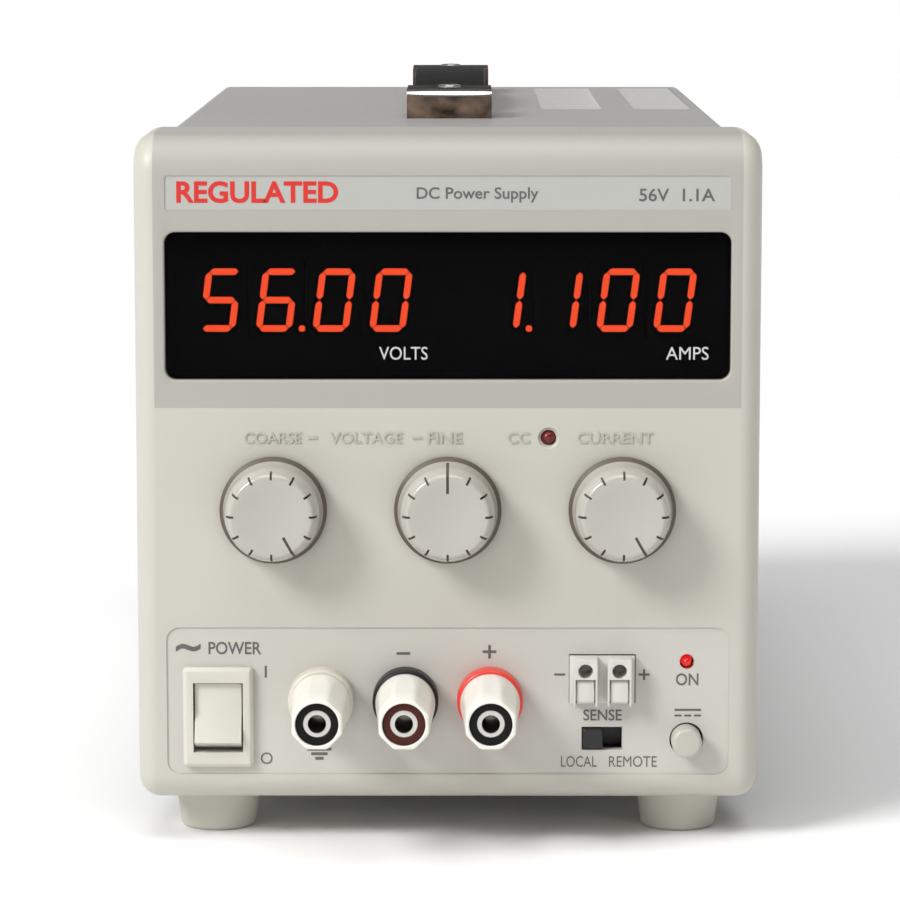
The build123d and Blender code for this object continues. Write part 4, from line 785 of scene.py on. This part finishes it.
class SUPPLY_OT_posts(bpy.types.Operator):
    """Binding posts: eight-sided caps, bushes, collars and sockets"""

    bl_idname = "supply.posts"
    bl_label = "Binding Posts"

    STEP = 1 * MM  # between the rings of a cap before they are given their places
    AROUND = 96  # vertices in a ring
    BORE_GAP = 0.05 * MM
    BORE_EDGE = 0.15 * MM
    # Rings of the outside, in millimetres: each one's distance from the rear, or for the rim from
    # the front, and how far it is drawn in.
    ROUNDED_REAR = ((0, 0.4), (0.12, 0.12), (0.4, 0))
    SIDE = ((1.5, 0), (3, 0), (5, 0), (7, 0), (10, 0), (16, 0))
    RIM = ((-0.35, 0), (-0.18, 0.04), (-0.05, 0.14), (0, 0.26))
    TAPER = 0.95  # millimetres that the radius loses over the length
    FLAT = 0.055  # share of the radius that a flat takes off
    FLATS_IN_FULL = 0.35  # share of the length at which the flats reach their depth

    def execute(self, context):
        for post in ("earth", "negative", "positive"):
            moulded(f"{post}_collar")
            moulded(f"{post}_clamp_bush", ease=0.12 * MM)
            self.cap(f"{post}_cap")
        moulded("post_sockets", ease=0.1 * MM)
        keep("post_rear_nuts")
        return {"FINISHED"}

    def cap(self, name):
        """A tapered cap, round at the rear, with flats that deepen forwards and a bore."""
        low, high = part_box(name)
        middle = (low + high) / 2
        bush_low, bush_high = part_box(name.replace("cap", "clamp_bush"))
        long = high.y - low.y
        rear = (high.x - low.x) / 2
        bore = (bush_high.x - bush_low.x) / 2 + self.BORE_GAP
        # Each ring: its distance from the rear, what it is drawn in by, or its plain radius.
        outside = self.ROUNDED_REAR + self.SIDE
        rings = [(depth * MM, inset * MM, None) for depth, inset in outside]
        rings += [(long + depth * MM, inset * MM, None) for depth, inset in self.RIM]
        rings += [(long, 0, bore + self.BORE_EDGE), (long - self.BORE_EDGE, 0, bore)]
        rings += [(0, 0, bore), rings[0]]
        clear_selection()
        bpy.ops.mesh.primitive_circle_add(vertices=self.AROUND, radius=rear)
        piece = bpy.context.active_object
        bpy.ops.object.mode_set(mode="EDIT")
        bpy.ops.mesh.select_all(action="SELECT")
        for _ in rings[1:]:
            bpy.ops.mesh.extrude_region_move(TRANSFORM_OT_translate={"value": (0, 0, self.STEP)})
        bpy.ops.object.mode_set(mode="OBJECT")
        for vertex in piece.data.vertices:
            depth, inset, plain = rings[round(vertex.co.z / self.STEP)]
            turn = math.atan2(vertex.co.x, vertex.co.y)
            radius = plain or self.outline(depth, turn, long, rear) - inset
            x = middle.x + radius * math.sin(turn)
            z = middle.z + radius * math.cos(turn)
            vertex.co = (x, high.y - depth, z)
        bpy.ops.object.mode_set(mode="EDIT")
        bpy.ops.mesh.select_all(action="SELECT")
        bpy.ops.mesh.remove_doubles(threshold=0.001 * MM)
        bpy.ops.mesh.normals_make_consistent(inside=False)
        bpy.ops.object.mode_set(mode="OBJECT")
        piece.name = name + "_piece"
        settle(piece, angle=35)
        dress(piece, finish(SLOT_OF[name]))
        stand_in(piece, name)

    def outline(self, depth, turn, long, rear):
        """Outer radius of a cap at a distance from its rear and a turn from the top."""
        round_radius = rear - self.TAPER * MM * depth / long
        flat_depth = self.FLAT * min(1.0, depth / (self.FLATS_IN_FULL * long))
        from_flat = (turn + math.pi / 8) % (math.pi / 4) - math.pi / 8
        flat = round_radius * (1 - flat_depth) / math.cos(from_flat)
        return min(round_radius, flat)


class SUPPLY_OT_sense(bpy.types.Operator):
    """Sense terminal block with its levers, and the slide switch"""

    bl_idname = "supply.sense"
    bl_label = "Sense Terminals"

    def execute(self, context):
        moulded("sense_terminal_block", ease=0.18 * MM)
        for name in ("minus_lever", "plus_lever"):
            moulded(name, ease=0.18 * MM)
        moulded("sense_switch_case")
        moulded("sense_slider", ease=0.15 * MM)
        return {"FINISHED"}


class SUPPLY_OT_output(bpy.types.Operator):
    """Output button and its switch, and the two lamps"""

    bl_idname = "supply.output"
    bl_label = "Output Button and Lamps"

    LAMP_SLACK = 0.45 * MM  # round the lit lamp in its hole

    def execute(self, context):
        moulded("output_button")
        keep("output_switch_case")
        moulded("cc_led")
        lamp = moulded("output_led")
        glowing = led_lens().copy()
        glowing.name = "led_lens_lit"
        dress(lamp, lit(glowing, paint(222, 26, 22), LAMP_LIGHT))
        grow(lamp, -self.LAMP_SLACK)
        return {"FINISHED"}


class SUPPLY_OT_case(bpy.types.Operator):
    """Cover, tray, rear panel and feet"""

    bl_idname = "supply.case"
    bl_label = "Case"

    SLOTS_IN = 5 * MM  # the air slots are at least this far from the cover's edges
    SLOT_WALL = 1.2 * MM

    def execute(self, context):
        for name in ("chassis_tray", "rear_panel"):
            moulded(name)
        self.cover()
        moulded("feet", angle=40)
        return {"FINISHED"}

    def cover(self):
        """The cover; the punched walls of its air slots are painted near-white, painted light
        standing in for the light they catch.
        """
        cover = moulded("top_cover")
        painted_wall_light = textured("slot_wall_painted_light", paint(246, 244, 240), 0.5, drift=0.04, patch=2)
        dress(cover, finish("cover_paint"), painted_wall_light)
        low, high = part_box("top_cover")
        # painted light: upright faces in the slotted top take the near-white colour
        for face in cover.data.polygons:
            x, y, z = face.center
            upright = abs(face.normal.z) < 0.1
            inboard = abs(x) < high.x - self.SLOTS_IN
            inboard = inboard and low.y + self.SLOTS_IN < y < high.y - self.SLOTS_IN
            if upright and inboard and z > high.z - self.SLOT_WALL:
                face.material_index = 1


class SUPPLY_OT_handle(bpy.types.Operator):
    """Strap and its two end caps"""

    bl_idname = "supply.handle"
    bl_label = "Carrying Handle"

    def execute(self, context):
        moulded("handle_strap", ease=0.8 * MM)
        caps = moulded("handle_end_caps", ease=0.35 * MM)
        # painted reflection: near-black on the chrome caps' tops and sides, standing in for the
        # dark surroundings they reflect
        black = textured("end_cap_black", paint(24, 24, 24), 0.55, drift=0.06, specular=0.12)
        # painted reflection: mottled brown on the caps' fronts and backs, standing in for the
        # surroundings they reflect
        reflection_mottle = dict(metal=0.7, drift=0.85, patch=7, relief=0.001, stretch=(1, 1, 1.4))
        painted_face_reflection = textured("end_cap_face", paint(112, 94, 80), 0.3, **reflection_mottle)
        dress(caps, finish("cap_chrome"), black, painted_face_reflection)
        # painted reflection: tops and sides take the near-black, fronts and backs the mottled
        # brown
        for face in caps.data.polygons:
            top_or_side = face.normal.z > 0.985 or abs(face.normal.x) > 0.7
            if top_or_side:
                face.material_index = 1
            elif abs(face.normal.y) > 0.96:
                face.material_index = 2
        return {"FINISHED"}


class SUPPLY_OT_screws(bpy.types.Operator):
    """Pan head screws with a cross recess, one at each of the frame's"""

    bl_idname = "supply.screws"
    bl_label = "Screws"

    HEAD_R = 2.8
    HEAD_HEIGHT = 1.9
    SHANK_R = 1.5
    HEAD_ROUND = 0.8
    RECESS_REACH = 1.6  # of the cross, from its middle
    RECESS_WIDE = 0.75
    RECESS_DEEP = 1.0
    CLEAR_OF_SHANK = 2.5  # a point further than this from the axis is on the head
    HANDLE_HEAD = 0.7  # the handle's screws have low heads
    ON_TOP = 155 * MM  # height above which a screw is one of the handle's

    def execute(self, context):
        master = self.head()
        made = []
        for loose in self.found():
            made.append(self.screw(loose, master))
            bpy.data.objects.remove(loose)
        bpy.data.objects.remove(master)
        piece = settle(joined(made, "case_screws_piece"), angle=35)
        dress(piece, finish("screw_steel"))
        stand_in(piece, "case_screws")
        return {"FINISHED"}

    @staticmethod
    def found():
        """Each screw of the frame, as an object of its own."""
        merged_copy("case_screws", "screw")
        bpy.ops.object.mode_set(mode="EDIT")
        bpy.ops.mesh.separate(type="LOOSE")
        bpy.ops.object.mode_set(mode="OBJECT")
        return list(bpy.context.selected_objects)

    def head(self):
        """Head that stands on z = 0, with its recess."""
        clear_selection()
        high = self.HEAD_HEIGHT * MM
        bpy.ops.mesh.primitive_cylinder_add(
            vertices=32, radius=self.HEAD_R * MM, depth=high, location=(0, 0, high / 2)
        )
        piece = bpy.context.active_object
        bpy.ops.object.transform_apply(location=True, rotation=True, scale=True)
        bpy.ops.object.mode_set(mode="EDIT")
        bpy.ops.mesh.select_all(action="DESELECT")
        bpy.ops.object.mode_set(mode="OBJECT")
        for edge in piece.data.edges:
            ends = [piece.data.vertices[i].co.z for i in edge.vertices]
            edge.select = min(ends) > high * 0.9
        bpy.ops.object.mode_set(mode="EDIT")
        bpy.ops.mesh.select_mode(type="EDGE")
        bpy.ops.mesh.bevel(offset=self.HEAD_ROUND * MM, segments=3, affect="EDGES")
        bpy.ops.object.mode_set(mode="OBJECT")
        floor = Vector((0, 0, (self.HEAD_HEIGHT - self.RECESS_DEEP) * MM))
        for axis in (0, 1):
            reach = self.unit(axis) * self.RECESS_REACH * MM
            arm = bar(floor - reach, floor + reach, self.RECESS_WIDE * MM, 3 * MM, self.unit(2))
            cut(piece, arm)
        return piece

    def screw(self, loose, master):
        """A screw along the longest side of a loose part, with its head at the wide end."""
        points = [v.co for v in loose.data.vertices]
        low, high = extent(points)
        axis = max(range(3), key=lambda i: high[i] - low[i])
        middle = (low + high) / 2
        clear = self.CLEAR_OF_SHANK * MM
        wide = [p for p in points if (p - middle).cross(self.unit(axis)).length > clear]
        sign = 1 if sum(p[axis] for p in wide) / len(wide) > middle[axis] else -1
        under_head = middle.copy()
        under_head[axis] = (high if sign > 0 else low)[axis] - sign * self.HEAD_HEIGHT * MM
        turn = self.unit(axis) * sign
        rotation = turn.to_track_quat("Z", "Y").to_matrix().to_4x4()
        head = bpy.data.objects.new("head", master.data.copy())
        bpy.context.scene.collection.objects.link(head)
        lowered = self.HANDLE_HEAD / self.HEAD_HEIGHT if middle.z > self.ON_TOP else 1
        sizing = Matrix.Diagonal((1, 1, lowered, 1))
        head.matrix_world = Matrix.Translation(under_head) @ rotation @ sizing
        shank_long = high[axis] - low[axis] - self.HEAD_HEIGHT * MM
        clear_selection()
        bpy.ops.mesh.primitive_cylinder_add(
            vertices=20, radius=self.SHANK_R * MM, depth=shank_long
        )
        shank = bpy.context.active_object
        shank.matrix_world = Matrix.Translation(under_head - turn * shank_long / 2) @ rotation
        return joined([head, shank], "screw")

    @staticmethod
    def unit(axis):
        """Unit vector along an axis, given as 0, 1 or 2."""
        return Vector([1.0 if i == axis else 0.0 for i in range(3)])


class SUPPLY_OT_rear(bpy.types.Operator):
    """Heatsink, mains inlet with its pins, and fuse drawer"""

    bl_idname = "supply.rear"
    bl_label = "Heatsink and Inlet"

    def execute(self, context):
        moulded("heatsink", ease=0.25 * MM)
        moulded("mains_inlet", ease=0.3 * MM)
        moulded("inlet_pins", ease=0.2 * MM)
        moulded("fuse_drawer", ease=0.2 * MM)
        return {"FINISHED"}


class SUPPLY_OT_inside(bpy.types.Operator):
    """Everything that the case hides"""

    bl_idname = "supply.inside"
    bl_label = "Inside"

    def execute(self, context):
        for name in ("transformer_winding", "smoothing_capacitors"):
            moulded(name, angle=40)
        not_replaced = [name for name, o in frame["nodes"].items() if not o.hide_render]
        for name in not_replaced:
            keep(name)
        return {"FINISHED"}


# ---------------------------------------------------------------- studio
class SUPPLY_OT_stage(bpy.types.Operator):
    """Pale floor, soft studio light and the camera"""

    bl_idname = "supply.stage"
    bl_label = "Studio"

    CAMERA_BACK = 860.0  # millimetres in front of the bezel
    CAMERA_RISE = 211.0  # above the floor
    CAMERA_SIDE = 2.9
    CAMERA_DIP = 8.03  # degrees
    CAMERA_PAN = 0.16
    CAMERA_LENS = 155.6
    FLOOR_PALE = (0.87, 0.87, 0.87)
    SKY = 0.16  # strength of the light from above the horizon's glow
    GLOW_FROM, GLOW_TO = 0.1, 0.3  # heights between which the glow fades

    def execute(self, context):
        self.floor()
        self.world()
        self.sun("overhead", 1.6, 50, (11, 0, 0))
        self.sun("key", 2.35, 22, (52, 0, -52))
        self.panel("left_panel", 0.6, (0.3, 0.3), Vector((-0.55, -0.66, 0.42)))
        self.camera()
        context.scene.view_settings.view_transform = "Standard"
        return {"FINISHED"}

    def floor(self):
        """A wide pale floor."""
        clear_selection()
        bpy.ops.mesh.primitive_plane_add(size=60)
        floor = bpy.context.active_object
        floor.name = "floor"
        pale = dict(drift=0.004, patch=900, specular=0.0)
        dress(floor, textured("floor_white", self.FLOOR_PALE, 0.9, **pale))

    def world(self):
        """A white horizon under a dimmer sky."""
        world = bpy.data.worlds.new("studio")
        world.use_nodes = True
        tree = world.node_tree
        backdrop = tree.nodes["Background"]
        backdrop.inputs["Color"].default_value = (1, 1, 1, 1)
        direction = node(tree, "ShaderNodeTexCoord", {})
        height = node(tree, "ShaderNodeSeparateXYZ", {0: direction.outputs["Generated"]})
        span = {
            "Value": height.outputs["Z"],
            "From Min": self.GLOW_FROM,
            "From Max": self.GLOW_TO,
            "To Min": 1.0,
            "To Max": self.SKY,
        }
        fade = node(tree, "ShaderNodeMapRange", span)
        tree.links.new(fade.outputs[0], backdrop.inputs["Strength"])
        bpy.context.scene.world = world

    @staticmethod
    def sun(name, strength, softness, turn):
        """A large soft source; turn is its rotation in degrees."""
        light = bpy.data.lights.new(name, "SUN")
        light.energy = strength
        light.angle = math.radians(softness)
        lamp = bpy.data.objects.new(name, light)
        lamp.rotation_euler = [math.radians(t) for t in turn]
        bpy.context.scene.collection.objects.link(lamp)

    @staticmethod
    def panel(name, power, size, place):
        """A soft box that faces the middle of the front."""
        light = bpy.data.lights.new(name, "AREA")
        light.energy = power
        light.shape = "RECTANGLE"
        light.size, light.size_y = size
        lamp = bpy.data.objects.new(name, light)
        lamp.location = place
        aim = Vector((0, FRONT, 0.1)) - place
        lamp.rotation_euler = aim.to_track_quat("-Z", "Y").to_euler()
        bpy.context.scene.collection.objects.link(lamp)

    def camera(self):
        """The camera, before the front and a little above it."""
        lens = bpy.data.cameras.new("camera")
        lens.sensor_width = 36.0
        lens.lens = self.CAMERA_LENS
        lens.clip_start = 0.05
        lens.clip_end = 100.0
        camera = bpy.data.objects.new("camera", lens)
        back = FRONT - self.CAMERA_BACK * MM
        camera.location = (self.CAMERA_SIDE * MM, back, self.CAMERA_RISE * MM)
        tilt, pan = math.radians(90 - self.CAMERA_DIP), math.radians(self.CAMERA_PAN)
        camera.rotation_euler = (tilt, 0, pan)
        bpy.context.scene.collection.objects.link(camera)
        bpy.context.scene.camera = camera


# ---------------------------------------------------------------- add-on
OPERATORS = (
    SUPPLY_OT_bezel,
    SUPPLY_OT_title,
    SUPPLY_OT_display,
    SUPPLY_OT_overlay,
    SUPPLY_OT_knobs,
    SUPPLY_OT_power_switch,
    SUPPLY_OT_posts,
    SUPPLY_OT_sense,
    SUPPLY_OT_output,
    SUPPLY_OT_case,
    SUPPLY_OT_handle,
    SUPPLY_OT_screws,
    SUPPLY_OT_rear,
    SUPPLY_OT_inside,
    SUPPLY_OT_stage,
)


class SUPPLY_PT_panel(bpy.types.Panel):
    """Lists the steps that build the supply"""

    bl_idname = "SUPPLY_PT_panel"
    bl_label = "Bench Power Supply"
    bl_space_type = "VIEW_3D"
    bl_region_type = "UI"
    bl_category = "Supply"

    def draw(self, context):
        for operator in OPERATORS:
            self.layout.operator(operator.bl_idname)


CLASSES = (SupplyColours, SupplySizes, *OPERATORS, SUPPLY_PT_panel)


def register():
    for made in CLASSES:
        bpy.utils.register_class(made)
    bpy.types.Scene.supply_colours = PointerProperty(type=SupplyColours)
    bpy.types.Scene.supply_sizes = PointerProperty(type=SupplySizes)


def unregister():
    del bpy.types.Scene.supply_sizes
    del bpy.types.Scene.supply_colours
    for made in reversed(CLASSES):
        bpy.utils.unregister_class(made)


def main():
    """Builds the supply."""
    register()
    for operator in OPERATORS:
        group, name = operator.bl_idname.split(".")
        getattr(getattr(bpy.ops, group), name)()


if __name__ == "__main__":
    main()
